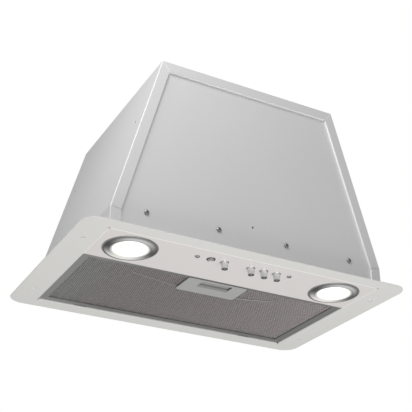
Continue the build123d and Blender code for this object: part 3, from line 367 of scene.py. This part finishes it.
def turned(name, profile, places, finish, around=32, turn=(0, 0, 0), recess=(0, 0, 0, 0),
           sharp=38.0):
    """A turned piece from radius and height points in millimetres, one at each place."""
    points = [(radius * mm, 0, height * mm) for radius, height in profile]
    mesh = bpy.data.meshes.new(name)
    mesh.from_pydata(points + [tuple(v * mm for v in place) for place in places], [], [])
    marks = mesh.attributes.new("is_place", "BOOLEAN", "POINT")
    marks.data.foreach_set("value", [False] * len(profile) + [True] * len(places))
    top, width, reach, depth = (v * mm for v in recess)
    piece = grown(name, mesh, turned_parts,
                  {"Around": around, "Turn": [math.radians(v) for v in turn], "Finish": finish,
                   "Recess Top": top, "Recess Width": width, "Recess Reach": reach,
                   "Recess Depth": depth})
    return smoothed(piece, sharp)


thread_pitch = 0.7
thread_depth = 0.3
thread_end = 1.2
crown = [(1, 0.3), (0.96, 0.52), (0.84, 0.76), (0.62, 0.93), (0.36, 1), (0, 1)]
recess_width = 0.9
recess_reach = 1.15
recess_depth = 0.55


def pan_profile(head, rise, shank, length):
    """A screw that points down from height 0: rolled thread, then a head with a round crown."""
    core = shank - thread_depth
    profile = [(0, -length), (core - thread_depth, -length), (core, thread_depth - length)]
    for i in range(int((length - thread_end) / thread_pitch)):
        low = thread_depth - length + i * thread_pitch
        profile += [(shank, low + thread_pitch / 2), (core, low + thread_pitch)]
    profile += [(shank, -thread_depth), (shank, 0), (head, 0)]
    return profile + [(across * head, up * rise) for across, up in crown]


def screws(node, places, turn, length, head=3.8, rise=2.6, shank=2.0):
    """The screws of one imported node: the places of their seats, their turn and their sizes."""
    piece = turned(node + "_turned", pan_profile(head, rise, shank, length), places, zinc,
                   around=24, turn=turn,
                   recess=(rise, recess_width, recess_reach * head, recess_depth * rise))
    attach(piece, "root")
    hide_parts(node)


def spaced(low, high, count):
    """Evenly spaced values from low to high."""
    return [low + (high - low) * i / (count - 1) for i in range(count)]


def around_fan(x, degrees, reach):
    """A place beside the fan's axis, by its angle from the rear towards the top."""
    angle = math.radians(degrees)
    return x, fan_middle.y + reach * math.cos(angle), fan_middle.z + reach * math.sin(angle)


plastic_shank = 1.85
plate_screw_half_row = 168.0
plate_screw_height = 33.5
plate_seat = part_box("front_plate")[0].y / mm
screws("front_plate_screws",
       [(x, plate_seat, plate_screw_height)
        for x in spaced(-plate_screw_half_row, plate_screw_half_row, 4)],
       turn=(90, 0, 0), length=6.0)

button_row = -120.0
bank_half_row = 76.3
panel_low, panel_high = (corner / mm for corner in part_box("control_panel"))
screws("bank_screws", [(x, button_row, panel_low.z) for x in (-bank_half_row, bank_half_row)],
       turn=(180, 0, 0), length=4.7, head=3.6, rise=1.9)

fan_middle = sum(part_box("motor_bearings"), Vector()) / 2 / mm
scroll_start_radius = 70.0
scroll_end_radius = 102.0
scroll_nose_angle = 75.0
boss_offset = 6.1
boss_seat = 8.0
boss_angles = spaced(110, 330, 5)
boss_places = []
for degrees in boss_angles:
    turn_share = (degrees - scroll_nose_angle) / (360 - scroll_nose_angle)
    scroll_radius = scroll_start_radius + (scroll_end_radius - scroll_start_radius) * turn_share
    boss_places.append(around_fan(boss_seat, degrees, scroll_radius + boss_offset))
screws("scroll_screws", boss_places, turn=(0, 90, 0), length=15.0, shank=plastic_shank)

collar_offset = 18.0
throat_half_width = 52.5
throat_half_depth = 41.94
throat_seat = 250.0
screws("throat_screws",
       [(x, y, throat_seat) for x in (-throat_half_width, throat_half_width)
        for y in spaced(collar_offset - throat_half_depth, collar_offset + throat_half_depth, 3)],
       turn=(180, 0, 0), length=5.0)

bracket_radius = 66.0
bracket_angles = (0, -120, 120)
bracket_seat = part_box("motor_bracket")[0].x / mm
screws("bracket_screws",
       [around_fan(bracket_seat, degrees, bracket_radius) for degrees in bracket_angles],
       turn=(0, -90, 0), length=16.5)

collar_screw_radius = 84.0
collar_angles = (45, 135, 225, 315)
collar_seat = 293.5
collar_places = [(collar_screw_radius * math.cos(math.radians(degrees)),
                  collar_offset + collar_screw_radius * math.sin(math.radians(degrees)),
                  collar_seat) for degrees in collar_angles]
screws("collar_screws", collar_places, turn=(0, 0, 0), length=6.0, shank=plastic_shank)
dress(zinc, "front_plate_nuts", "front_plate_screws", "bank_screws", "scroll_screws",
      "throat_screws", "bracket_screws", "collar_screws")


# ---- Control panel
# The flush sheet across the front of the window, in a slightly warmer enamel than the body. The
# enamel bridges its front and side seams with a bead in a lighter grey, a painted highlight that
# leaves a thin light line.

panel_enamel = coated("panel_enamel", (0.61, 0.58, 0.565), 0.40)
dress(panel_enamel, "control_panel")

# Painted highlight: the seam bead is lighter than the panel's enamel.
seam_painted_highlight = coated("seam_painted_highlight", (0.80, 0.80, 0.76), 0.35)
front_section = [(-0.80, -1.08), (0.62, -1.08), (0.28, -0.80), (0, -0.45), (-0.32, -0.80)]
side_section = [(1.10, -1.08), (0.06, -1.08), (0.06, -0.35), (0.35, -0.45), (0.65, -0.75)]
bead_side_gap = 1.1
bead_front_gap = 1.5
bead_back_gap = 0.1
bead_half = panel_high.x - bead_side_gap
seam_runs = [tuple([(x, panel_low.y + y, z) for y, z in front_section]
                   for x in (-bead_half, bead_half))]
for side in (-1, 1):
    seam_runs.append(tuple([(side * (panel_high.x + x), y, z) for x, z in side_section]
                           for y in (panel_low.y + bead_front_gap,
                                     panel_high.y - bead_back_gap)))
seam_bead = smoothed(beads("seam_bead", seam_painted_highlight, seam_runs))
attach(seam_bead, "root")


# ---- Switch bank and push-buttons
# A black moulded trough with a phenolic contact board. The plungers are metallised plastic with
# dished ends, each in a chromed bezel; the light's plunger is latched in. Plungers and bezels
# carry a painted reflection, the dished ends painted light and shade, and the latched plunger and
# its bezel painted shade.

trough_plastic = coated("trough_plastic", (0.03, 0.03, 0.033), 0.5, grain=700.0, depth=0.00004)
contact_board = coated("contact_board", (0.22, 0.13, 0.05), 0.55, tone=0.2, grain=400.0)


def round_axis(tree, centre, row, period=None):
    """Distance from the nearest axis in a row of round parts, and its X and Y shares."""
    spot = shaded_point(tree)
    if period:
        across = worked(tree, "WRAP", worked(tree, "SUBTRACT", spot["X"], centre * mm),
                        period / 2 * mm, -period / 2 * mm)
    else:
        across = worked(tree, "SUBTRACT", worked(tree, "ABSOLUTE", spot["X"]), centre * mm)
    along = worked(tree, "SUBTRACT", spot["Y"], row * mm)
    flat = placed(tree, "ShaderNodeCombineXYZ", {"X": across, "Y": along}).outputs[0]
    length = placed(tree, "ShaderNodeVectorMath", {0: flat}, operation="LENGTH").outputs["Value"]
    return length, worked(tree, "DIVIDE", across, length), worked(tree, "DIVIDE", along, length)


def ramp(tree, value, stops):
    """A colour ramp; each stop is its position and its colour or grey level."""
    node = placed(tree, "ShaderNodeValToRGB", {"Fac": value})
    elements = node.color_ramp.elements
    while len(elements) < len(stops):
        elements.new(0.5)
    for element, (position, colour) in zip(elements, stops):
        element.position = position
        element.color = (*colour, 1) if isinstance(colour, tuple) else (colour, colour, colour, 1)
    return node.outputs["Color"]


def painted_reflection_metal(name, front, flank, roughness):
    """Plated metal with a painted reflection: light where it faces the eye, dark where it turns
    away.
    """
    material = coated(name, (0.5, 0.5, 0.5), roughness, metallic=0.7)
    tree = material.node_tree
    facing = placed(tree, "ShaderNodeLayerWeight", {"Blend": 0.5}).outputs["Facing"]
    tone = ramp(tree, facing, [(0.0, front), (0.45, 0.92 * front), (0.8, flank), (1.0, flank)])
    tree.links.new(tone, tree.nodes["surface"].inputs["Colour"])
    return material, tone


button_pitch = 21.8
button_radius = 5.3
light_column = -2.5
bezel_half = 8.0
bezel_painted_shade = (0.10, 0.10, 0.10, 1)


def paint_plunger_light_and_shade():
    """Metallised plastic with a painted reflection, and a painted light middle and dark ring of
    shade on the dished end.
    """
    material, barrel_painted_reflection = painted_reflection_metal("plunger_painted_light_and_shade", 0.80, 0.20, 0.22)
    tree = material.node_tree
    from_axis = round_axis(tree, button_pitch / 2, button_row, button_pitch)[0]
    share = placed(tree, "ShaderNodeMapRange", {"Value": from_axis, "From Min": 0,
                                                "From Max": button_radius * mm}).outputs["Result"]
    # Painted light and shade on the dished end: a light middle and a dark ring.
    end = ramp(tree, share, [(0.0, 0.62), (0.36, 0.56), (0.50, 0.14), (0.85, 0.10), (0.87, 1.0)])
    tone = placed(tree, "ShaderNodeMix", {"Factor": 1.0, "A": barrel_painted_reflection, "B": end},
                  data_type="RGBA", blend_type="MULTIPLY")
    tree.links.new(tone.outputs["Result"], tree.nodes["surface"].inputs["Colour"])
    return material


def paint_bezel_shade():
    """Chrome with a painted reflection, and painted shade on the bezel whose plunger is latched
    in.
    """
    material, chrome = painted_reflection_metal("bezel_chrome", 0.75, 0.14, 0.25)
    tree = material.node_tree
    # Painted shade on the latched plunger's bezel.
    latched = worked(tree, "COMPARE", shaded_point(tree)["X"], light_column * button_pitch * mm,
                     bezel_half * mm)
    tone = placed(tree, "ShaderNodeMix", {"Factor": latched, "A": chrome, "B": bezel_painted_shade},
                  data_type="RGBA")
    tree.links.new(tone.outputs["Result"], tree.nodes["surface"].inputs["Colour"])
    return material


plunger_painted_light_and_shade = paint_plunger_light_and_shade()
# Painted shade: the latched plunger gets a darker copy of the plunger finish.
latched_painted_shade = painted_reflection_metal("latched_painted_shade", 0.60, 0.20, 0.25)[0]
bezel_chrome = paint_bezel_shade()
dress(trough_plastic, "switch_bank")
dress(contact_board, "switch_bank_cover")

button_travel = 9.6
plunger = [(0, -11.6), (2.2, -11.7), (3.4, -12.0), (3.9, -12.35), (4.15, -12.4), (4.4, -12.3),
           (4.58, -11.95), (button_radius, -2.1), (button_radius, 3.62), (6.8, 3.62),
           (6.8, 5.62), (4.6, 5.62), (4.6, 9.6), (4.3, 9.62), (0, 9.62)]
bezel = [(5.65, -1.2), (5.65, -1.75), (5.78, -2.0), (6.0, -2.1), (6.3, -1.98), (6.52, -1.65),
         (6.6, -1.2), (5.65, -1.2)]
button_columns = {"light_button": light_column, "stop_button": -1.5, "speed_1_button": 0.5,
                  "speed_2_button": 1.5, "speed_3_button": 2.5}
for name, column in button_columns.items():
    pressed = button_travel if column == light_column else 0
    cap = turned(name + "_plunger", plunger, [(column * button_pitch, button_row, pressed)],
                 latched_painted_shade if pressed else plunger_painted_light_and_shade, around=48)
    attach(cap, name)
    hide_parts(name)
bezels = turned("button_bezel_rings", bezel,
                [(column * button_pitch, button_row, 0) for column in button_columns.values()],
                bezel_chrome, around=48, sharp=60)
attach(bezels, "root")
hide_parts("button_bezels")
dress(bezel_chrome, "button_bezels")
dress(plunger_painted_light_and_shade, *button_columns)


# ---- Lamps
# Pressed satin chrome rings around frosted lenses that are lit, with cast heat sinks behind the
# panel and spring clips that press the lamps down. The rings carry a painted reflection and a
# painted glow from the lenses.

lamp_offset = 170.0
lamp_row = -99.5
ring_inner = 25.4
ring_outer = 39.5
sleeve_radius = 33.5
lens_bright = 22.0
lens_edge = 25.5
lens_strength = 1.3
side_falloff = 3.0


def paint_ring_reflection():
    """Satin chrome, turned, with a painted reflection dark to both sides, and a painted glow of
    the lens's light on the inner band.
    """
    material = coated("ring_metal", (0.5, 0.5, 0.5), 0.30, metallic=0.6)
    tree = material.node_tree
    shader = tree.nodes["Principled BSDF"]
    surface = tree.nodes["surface"]
    length, lean, reach = round_axis(tree, lamp_offset, lamp_row)
    share = placed(tree, "ShaderNodeMapRange", {"Value": length, "From Min": ring_inner * mm,
                                                "From Max": ring_outer * mm}).outputs["Result"]
    # Painted reflection: tones by radius for the front, the rear and the sides of the ring.
    front = ramp(tree, share, [(0.0, 0.50), (0.18, 0.48), (0.22, 0.40), (0.34, 0.70), (0.52, 0.76),
                               (0.76, 0.36), (0.86, 0.16), (1.0, 0.28)])
    rear = ramp(tree, share, [(0.0, 0.60), (0.18, 0.60), (0.22, 0.50), (0.34, 0.80), (0.70, 0.80),
                              (0.82, 0.20), (0.90, 0.04), (1.0, 0.03)])
    side = ramp(tree, share, [(0.0, 0.40), (0.14, 0.32), (0.21, 0.04), (0.27, 0.05), (0.34, 0.085),
                              (0.60, 0.07), (0.80, 0.05), (0.87, 0.22), (1.0, 0.30)])
    behind = worked(tree, "GREATER_THAN", reach, 0.0)
    end = placed(tree, "ShaderNodeMix", {"Factor": behind, "A": front, "B": rear},
                 data_type="RGBA").outputs["Result"]
    lean = worked(tree, "POWER", worked(tree, "ABSOLUTE", lean), side_falloff)
    tone = placed(tree, "ShaderNodeMix", {"Factor": lean, "A": end, "B": side}, data_type="RGBA")
    tree.links.new(tone.outputs["Result"], surface.inputs["Colour"])
    # Painted glow: the lens's light given to the ring as emission.
    near = ramp(tree, share, [(0.0, (0.30, 0.29, 0.26)), (0.17, (0.20, 0.19, 0.17)),
                              (0.22, (0.03, 0.03, 0.026)), (0.45, (0, 0, 0))])
    far = ramp(tree, share, [(0.0, (0.40, 0.39, 0.35)), (0.17, (0.34, 0.33, 0.29)),
                             (0.70, (0.24, 0.23, 0.195)), (0.80, (0, 0, 0))])
    behind = worked(tree, "MULTIPLY", worked(tree, "MAXIMUM", reach, 0.0),
                    worked(tree, "SUBTRACT", 1.0, lean))
    glow = placed(tree, "ShaderNodeMix", {"Factor": behind, "A": near, "B": far},
                  data_type="RGBA").outputs["Result"]
    tree.links.new(glow, shader.inputs["Emission Color"])
    shader.inputs["Emission Strength"].default_value = 1.0
    return material


def lens_material():
    """Frosted lens: white over most of its face, warmer at its rim."""
    material = coated("lit_lens", (0.45, 0.45, 0.44), 0.35)
    tree = material.node_tree
    shader = tree.nodes["Principled BSDF"]
    length = round_axis(tree, lamp_offset, lamp_row)[0]
    share = placed(tree, "ShaderNodeMapRange", {"Value": length, "From Min": lens_bright * mm,
                                                "From Max": lens_edge * mm}).outputs["Result"]
    glow = ramp(tree, share, [(0.0, (1.0, 1.0, 0.99)), (0.5, (0.95, 0.95, 0.93)),
                              (0.78, (0.45, 0.44, 0.41)), (1.0, (0.30, 0.29, 0.26))])
    tree.links.new(glow, shader.inputs["Emission Color"])
    shader.inputs["Emission Strength"].default_value = lens_strength
    return material


ring_metal = paint_ring_reflection()
ring_profile = [(ring_inner, -2.7), (ring_inner, -2.95), (25.7, -3.1), (28.3, -3.42),
                (28.8, -3.5), (29.6, -3.5), (30.2, -3.42), (33.8, -2.9), (37.0, -2.38),
                (37.6, -2.3), (38.6, -2.3), (39.1, -2.12), (39.42, -1.75), (ring_outer, -1.2),
                (sleeve_radius, -1.2), (sleeve_radius, 0.3), (26.6, 0.3), (26.6, -2.7),
                (ring_inner, -2.7)]
for side, offset in (("left", -lamp_offset), ("right", lamp_offset)):
    ring = turned("trim_ring_" + side, ring_profile, [(offset, lamp_row, 0)], ring_metal,
                  around=96, sharp=50)
    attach(ring, "root")
    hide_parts("lamp_ring_" + side)
sink_metal = coated("sink_metal", (0.35, 0.355, 0.36), 0.5, tone=0.1, metallic=0.9)
clip_steel = coated("clip_steel", (0.40, 0.41, 0.42), 0.3, metallic=1.0)
dress(ring_metal, "lamp_ring_left", "lamp_ring_right")
dress(lens_material(), "lamp_glass_left", "lamp_glass_right")
dress(sink_metal, "lamp_body_left", "lamp_body_right")
dress(clip_steel, "lamp_clips", "latch_spring", "flap_pin", "capacitor_clip")


# ---- Grease filter
# A folded aluminium channel round layers of expanded metal, slit and drawn from thin sheet. The
# lowest layer is made strand by strand. A bowed wire stiffens it behind the latch plate. The core
# is near black as painted shade, and the metals' tones drift towards the left as painted light and
# shade.

filter_metal = coated("filter_metal", (0.20, 0.20, 0.195), 0.45, tone=0.06, metallic=0.5)
mesh_metal = coated("mesh_metal", (0.50, 0.46, 0.453), 0.42, tone=0.1, metallic=0.5)
# Painted shade: the core behind the mesh is near black for the shade inside the filter.
core_painted_shade = coated("core_painted_shade", (0.070, 0.065, 0.064), 0.6, tone=0.1, metallic=0.3)
wire_metal = coated("wire_metal", (0.38, 0.37, 0.365), 0.42, tone=0.1, metallic=0.5)
strand_gap = 0.004


def expanded_tree():
    """Repeats one cell over a sheet, each second row moved by half a cell, round a clear box."""
    tree, given, result = with_sockets(
        bpy.data.node_groups.new("expanded_metal", "GeometryNodeTree"),
        [("Geometry", "NodeSocketGeometry", None), ("Long Pitch", "NodeSocketFloat", 0.0035),
         ("Short Pitch", "NodeSocketFloat", 0.0024), ("Columns", "NodeSocketInt", 10),
         ("Rows", "NodeSocketInt", 10), ("Centre", "NodeSocketVector", (0, 0, 0)),
         ("Clear Centre", "NodeSocketVector", (0, 0, 0)),
         ("Clear Half", "NodeSocketVector", (0, 0, 0)), ("Finish", "NodeSocketMaterial", None)],
        [("Geometry", "NodeSocketGeometry")])
    spans = [worked(tree, "MULTIPLY", worked(tree, "SUBTRACT", given[count], 1), given[pitch])
             for count, pitch in (("Columns", "Long Pitch"), ("Rows", "Short Pitch"))]
    grid = placed(tree, "GeometryNodeMeshGrid",
                  {"Size X": spans[0], "Size Y": spans[1], "Vertices X": given["Columns"],
                   "Vertices Y": given["Rows"]}).outputs["Mesh"]
    spot = placed(tree, "GeometryNodeInputPosition").outputs[0]
    flat = placed(tree, "ShaderNodeSeparateXYZ", {"Vector": spot}).outputs
    from_edge = worked(tree, "ADD", flat["Y"], worked(tree, "MULTIPLY", spans[1], 0.5))
    row = worked(tree, "ROUND", worked(tree, "DIVIDE", from_edge, given["Short Pitch"]))
    share = worked(tree, "MULTIPLY", worked(tree, "MODULO", row, 2.0), 0.5)
    shift = worked(tree, "MULTIPLY", share, given["Long Pitch"])
    move = placed(tree, "ShaderNodeVectorMath",
                  {0: placed(tree, "ShaderNodeCombineXYZ", {"X": shift}).outputs[0],
                   1: given["Centre"]}, operation="ADD").outputs[0]
    grid = placed(tree, "GeometryNodeSetPosition", {"Geometry": grid, "Offset": move}).outputs[0]
    apart = placed(tree, "ShaderNodeVectorMath", {0: spot, 1: given["Clear Centre"]},
                   operation="SUBTRACT").outputs[0]
    apart = placed(tree, "ShaderNodeVectorMath", {0: apart}, operation="ABSOLUTE").outputs[0]
    room = placed(tree, "ShaderNodeVectorMath", {0: given["Clear Half"], 1: apart},
                  operation="SUBTRACT").outputs[0]
    room = placed(tree, "ShaderNodeSeparateXYZ", {"Vector": room}).outputs
    inside = worked(tree, "GREATER_THAN", worked(tree, "MINIMUM", room["X"], room["Y"]), 0.0)
    grid = placed(tree, "GeometryNodeDeleteGeometry", {"Geometry": grid, "Selection": inside},
                  domain="POINT").outputs[0]
    cells = placed(tree, "GeometryNodeInstanceOnPoints",
                   {"Points": grid, "Instance": given["Geometry"]}).outputs[0]
    strands = placed(tree, "GeometryNodeRealizeInstances", {"Geometry": cells}).outputs[0]
    strands = placed(tree, "GeometryNodeMergeByDistance",
                     {"Geometry": strands, "Distance": strand_gap * mm}).outputs[0]
    dressed = placed(tree, "GeometryNodeSetMaterial",
                     {"Geometry": strands, "Material": given["Finish"]}).outputs[0]
    tree.links.new(dressed, result.inputs["Geometry"])
    return tree


def bar_sides(runs):
    """The faces of a four-sided bar whose corners are listed section by section."""
    return [(4 * i + j, 4 * i + (j + 1) % 4, 4 * i + 4 + (j + 1) % 4, 4 * i + 4 + j)
            for i in range(runs) for j in range(4)]


long_pitch = 3.5
short_pitch = 2.4
strand_half = 0.46
sheet_half = 0.28
knot = 0.12
sheet_low, sheet_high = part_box("filter_mesh_lower")
case_half = 34.6
case_back = -7.0
clear_half = case_half + long_pitch / 2
clear_back = case_back + short_pitch
sheet_front = sheet_low.y / mm
ridge = short_pitch / 2 + knot
cell = bpy.data.meshes.new("strand")
corners = []
for x, y in ((-long_pitch / 2, -ridge), (0, ridge), (long_pitch / 2, -ridge)):
    corners += [(x * mm, (y + strand_half) * mm, 0), (x * mm, y * mm, sheet_half * mm),
                (x * mm, (y - strand_half) * mm, 0), (x * mm, y * mm, -sheet_half * mm)]
cell.from_pydata(corners, [], bar_sides(2))
sheet_size = (sheet_high - sheet_low) / mm
sheet_middle = (sheet_high + sheet_low) / 2
lower_layer = grown("expanded_lower_layer", cell, expanded_tree(), {
    "Long Pitch": long_pitch * mm, "Short Pitch": short_pitch * mm,
    "Columns": int(sheet_size.x / long_pitch) - 1, "Rows": int(sheet_size.y / short_pitch),
    "Centre": (-long_pitch / 4 * mm, sheet_middle.y, sheet_middle.z),
    "Clear Centre": (0, (sheet_front + clear_back) / 2 * mm, sheet_middle.z),
    "Clear Half": (clear_half * mm, (clear_back - sheet_front) / 2 * mm, 1.0),
    "Finish": mesh_metal})
smoothed(lower_layer, sharp=20, caps=True)
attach(lower_layer, "filter")
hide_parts("filter_mesh_lower")

wire_radius = 0.6
wire_route = [(-130, -18.5, 2.75), (-126, -17.5, 2.2), (-58, -3.5, 2.1), (0, 1.2, 2.1),
              (58, -1.5, 2.1), (110, -15.5, 2.2), (114, -16.5, 2.75)]


def bowed_wire(name, radius, route, finish):
    """A round wire along a smooth curve that the route's points pull into shape."""
    curve = bpy.data.curves.new(name, "CURVE")
    curve.dimensions = "3D"
    curve.bevel_depth = radius * mm
    curve.bevel_resolution = 3
    curve.use_fill_caps = True
    line = curve.splines.new("NURBS")
    line.points.add(len(route) - 1)
    for point, place in zip(line.points, route):
        point.co = (*(v * mm for v in place), 1)
    line.order_u = 3
    line.use_endpoint_u = True
    line.resolution_u = 6
    shape = linked("wire_shape", curve)
    mesh = as_mesh(shape)
    bpy.data.objects.remove(shape)
    mesh.materials.clear()
    mesh.materials.append(finish)
    return smoothed(linked(name, mesh))


wire = bowed_wire("stiffening_wire", wire_radius, wire_route, wire_metal)
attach(wire, "filter")

drift_start = -120.0
drift_end = -190.0


def paint_side_light_and_shade(material, left):
    """Painted light and shade: lets a metal's colour drift slowly to another towards the left end.
    """
    tree = material.node_tree
    colour = tree.nodes["surface"].inputs["Colour"]
    across = shaded_point(tree)["X"]
    share = placed(tree, "ShaderNodeMapRange", {"Value": across, "From Min": drift_start * mm,
                                                "From Max": drift_end * mm}).outputs["Result"]
    drift = placed(tree, "ShaderNodeMix", {"Factor": share, "A": tuple(colour.default_value),
                                           "B": (*left, 1)}, data_type="RGBA")
    tree.links.new(drift.outputs["Result"], colour)


# Painted light on the mesh and frame, lighter to the left; painted shade on the core, darker to
# the left.
paint_side_light_and_shade(mesh_metal, (0.53, 0.535, 0.52))
paint_side_light_and_shade(core_painted_shade, (0.050, 0.052, 0.050))
paint_side_light_and_shade(filter_metal, (0.27, 0.275, 0.265))
dress(filter_metal, "filter_frame")
dress(mesh_metal, "filter_mesh_lower", "filter_mesh_upper")
dress(core_painted_shade, "filter_core")


# ---- Filter latch
# A moulded grey plate with a finger opening, let into the filter's mesh with its case, and the
# slide in the case, moulded in the same plastic. A bowed leaf of spring steel pushes the slide
# forward; it flattens as the slide is pulled back.

plate_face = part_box("latch_plate")[0].z / mm
plate_grey = (0.325, 0.33, 0.32)
recess_shade = 2.0


def latch_finish():
    """Moulded plastic, in shade where the finger opening sinks behind the plate's face."""
    material = coated("latch_plastic", (0.34, 0.345, 0.335), 0.5, grain=1200.0, depth=0.00003)
    tree = material.node_tree
    sunk = placed(tree, "ShaderNodeMapRange",
                  {"Value": shaded_point(tree)["Z"], "From Min": plate_face * mm,
                   "From Max": (plate_face + recess_shade) * mm}).outputs["Result"]
    tone = ramp(tree, sunk, [(0.0, plate_grey), (0.03, plate_grey), (0.10, (0.21, 0.21, 0.205)),
                             (0.4, (0.22, 0.22, 0.215)), (0.6, (0.27, 0.27, 0.265))])
    tree.links.new(tone, tree.nodes["surface"].inputs["Colour"])
    return material


dress(latch_finish(), "latch_plate", "latch_slider")

spring_low, spring_high = (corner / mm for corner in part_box("latch_spring"))
spring_sheet = 0.4
end_sheet = 0.05
leaf_steps = 24
leaf_half = spring_high.x
leaf_rise = spring_high.y - spring_low.y
leaf_sections = []
for i in range(leaf_steps + 1):
    x = leaf_half * (2 * i / leaf_steps - 1)
    bow = leaf_rise * (1 - (x / leaf_half) ** 2)
    sheet = min(spring_sheet, bow + end_sheet)
    y = spring_high.y - bow
    leaf_sections.append([(x, y, spring_low.z), (x, y + sheet, spring_low.z),
                          (x, y + sheet, spring_high.z), (x, y, spring_high.z)])
corners = [[v * mm for v in place] for section in leaf_sections for place in section]
ends = [(0, 1, 2, 3), tuple(4 * leaf_steps + j for j in range(4))]
leaf_mesh = bpy.data.meshes.new("latch_spring_leaf")
leaf_mesh.from_pydata(corners, [], bar_sides(leaf_steps) + ends)
leaf_mesh.materials.append(clip_steel)
leaf = linked("latch_spring_leaf", leaf_mesh)
smoothed(leaf)
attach(leaf, "filter")
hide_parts("latch_spring")
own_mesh(leaf)


# ---- Blower
# Two scroll halves moulded in black glass-filled plastic and screwed together, round a wheel
# rolled from galvanised strip. The die-cast motor hangs in one inlet on a pressed bracket, whose
# three arms stand on rubber bushes.

scroll_plastic = coated("scroll_plastic", (0.035, 0.036, 0.038), 0.5, tone=0.1, grain=600.0,
                        depth=0.00005)
wheel_metal = coated("wheel_metal", (0.42, 0.43, 0.44), 0.38, tone=0.2, metallic=0.95)
ground_steel = coated("ground_steel", (0.5, 0.5, 0.5), 0.22, metallic=1.0)
motor_metal = coated("motor_metal", (0.34, 0.345, 0.35), 0.45, tone=0.1, grain=500.0,
                     depth=0.00005, metallic=0.8)
sintered_bronze = coated("sintered_bronze", (0.40, 0.24, 0.09), 0.45, metallic=1.0)
galvanised = coated("galvanised", (0.42, 0.43, 0.44), 0.42, tone=0.3, grain=300.0, metallic=0.95)
black_rubber = coated("black_rubber", (0.02, 0.02, 0.02), 0.75, grain=700.0)
dress(scroll_plastic, "scroll_half_left", "scroll_half_right")
dress(wheel_metal, "blower_wheel")
dress(ground_steel, "motor_shaft")
dress(motor_metal, "motor_housing")
dress(sintered_bronze, "motor_bearings")
dress(galvanised, "motor_bracket")
dress(black_rubber, "motor_isolators")


# ---- Outlet
# An adaptor under the body's top and a collar on it, moulded in black plastic and screwed
# together through the sheet. Two moulded flaps on a steel pin across the collar fall shut when
# the fan stops.

collar_plastic = coated("collar_plastic", (0.03, 0.03, 0.032), 0.45, grain=600.0, depth=0.00005)
dress(collar_plastic, "outlet_adaptor", "outlet_collar", "damper_flap_front", "damper_flap_back")


# ---- Electrical parts
# A terminal box with a lid and the lamps' supply, both moulded in white plastic, under the body's
# top. A black nylon gland is nutted into the sheet, and a clip holds the motor's capacitor can.

box_plastic = coated("box_plastic", (0.60, 0.60, 0.57), 0.45, grain=800.0, depth=0.00003)
gland_nylon = coated("gland_nylon", (0.04, 0.04, 0.04), 0.4, grain=500.0)
capacitor_case = coated("capacitor_case", (0.64, 0.64, 0.60), 0.35)
dress(box_plastic, "terminal_box", "terminal_box_lid", "led_driver")
dress(gland_nylon, "cable_gland", "gland_nut")
dress(capacitor_case, "run_capacitor")


# ---- Studio
# A pale floor well below the part, soft lamps, and the photograph's view from below the front
# left corner. The camera's turn and tilt are in radians.

floor_drop = 2.6
floor_half = 10.4
floor_corners = [(x * floor_half, y * floor_half, -floor_drop)
                 for x, y in ((-1, -1), (1, -1), (1, 1), (-1, 1))]
floor_mesh = bpy.data.meshes.new("floor")
floor_mesh.from_pydata(floor_corners, [], [(0, 1, 2, 3)])
floor_mesh.materials.append(coated("floor_paint", (0.86, 0.86, 0.86), 0.8, tone=0.01, grain=40.0))
linked("floor", floor_mesh)

world = bpy.data.worlds.new("studio")
bpy.context.scene.world = world
world.use_nodes = True
sky = world.node_tree.nodes["Background"]
seen = placed(world.node_tree, "ShaderNodeLightPath").outputs
ambient = 0.475
shown = worked(world.node_tree, "MAXIMUM", seen["Is Camera Ray"], seen["Is Transmission Ray"])
white = placed(world.node_tree, "ShaderNodeMix", {"Factor": shown, "A": ambient, "B": 1.0},
               data_type="FLOAT")
world.node_tree.links.new(white.outputs["Result"], sky.inputs["Strength"])
sky.inputs["Color"].default_value = (1, 1, 1, 1)


def soft_lamp(name, place, aim, width, power):
    """A square soft lamp that faces a point."""
    light = bpy.data.lights.new(name, "AREA")
    light.size = width
    light.energy = power
    lamp = linked(name, light)
    lamp.location = place
    lamp.rotation_euler = (Vector(aim) - Vector(place)).to_track_quat("-Z", "Y").to_euler()
    lamp.visible_camera = False


middle = (0, 0, 0.12)
top_corner = (-0.1, -0.13, 0.2)
side_wall = (-0.19, -0.1, 0.16)
soft_lamp("corner_lamp", (-0.45, -0.6, 0.7), top_corner, 0.4, 5.2)
soft_lamp("side_lamp", (-0.5, -0.2, 0.3), side_wall, 0.2, 0.6)
soft_lamp("front_lamp", (0.1, -1.4, -0.8), middle, 1.2, 2.8)
soft_lamp("lower_lamp", (0.0, -0.4, -1.4), middle, 1.2, 16)
soft_lamp("rear_lamp", (1.2, 1.8, 1.6), middle, 1.4, 10)

camera_place = (-0.62246, -1.16292, -0.53961)
camera_turn = 0.49268
camera_tilt = 0.48335
focal_pixels = 921.65
photo_pixels = 412
camera_data = bpy.data.cameras.new("camera")
camera_data.sensor_width = 36
camera_data.lens = focal_pixels / photo_pixels * camera_data.sensor_width
camera = linked("camera", camera_data)
camera.location = camera_place
camera.rotation_euler = (math.pi / 2 + camera_tilt, 0, -camera_turn)
bpy.context.scene.camera = camera
bpy.context.scene.view_settings.view_transform = "Standard"
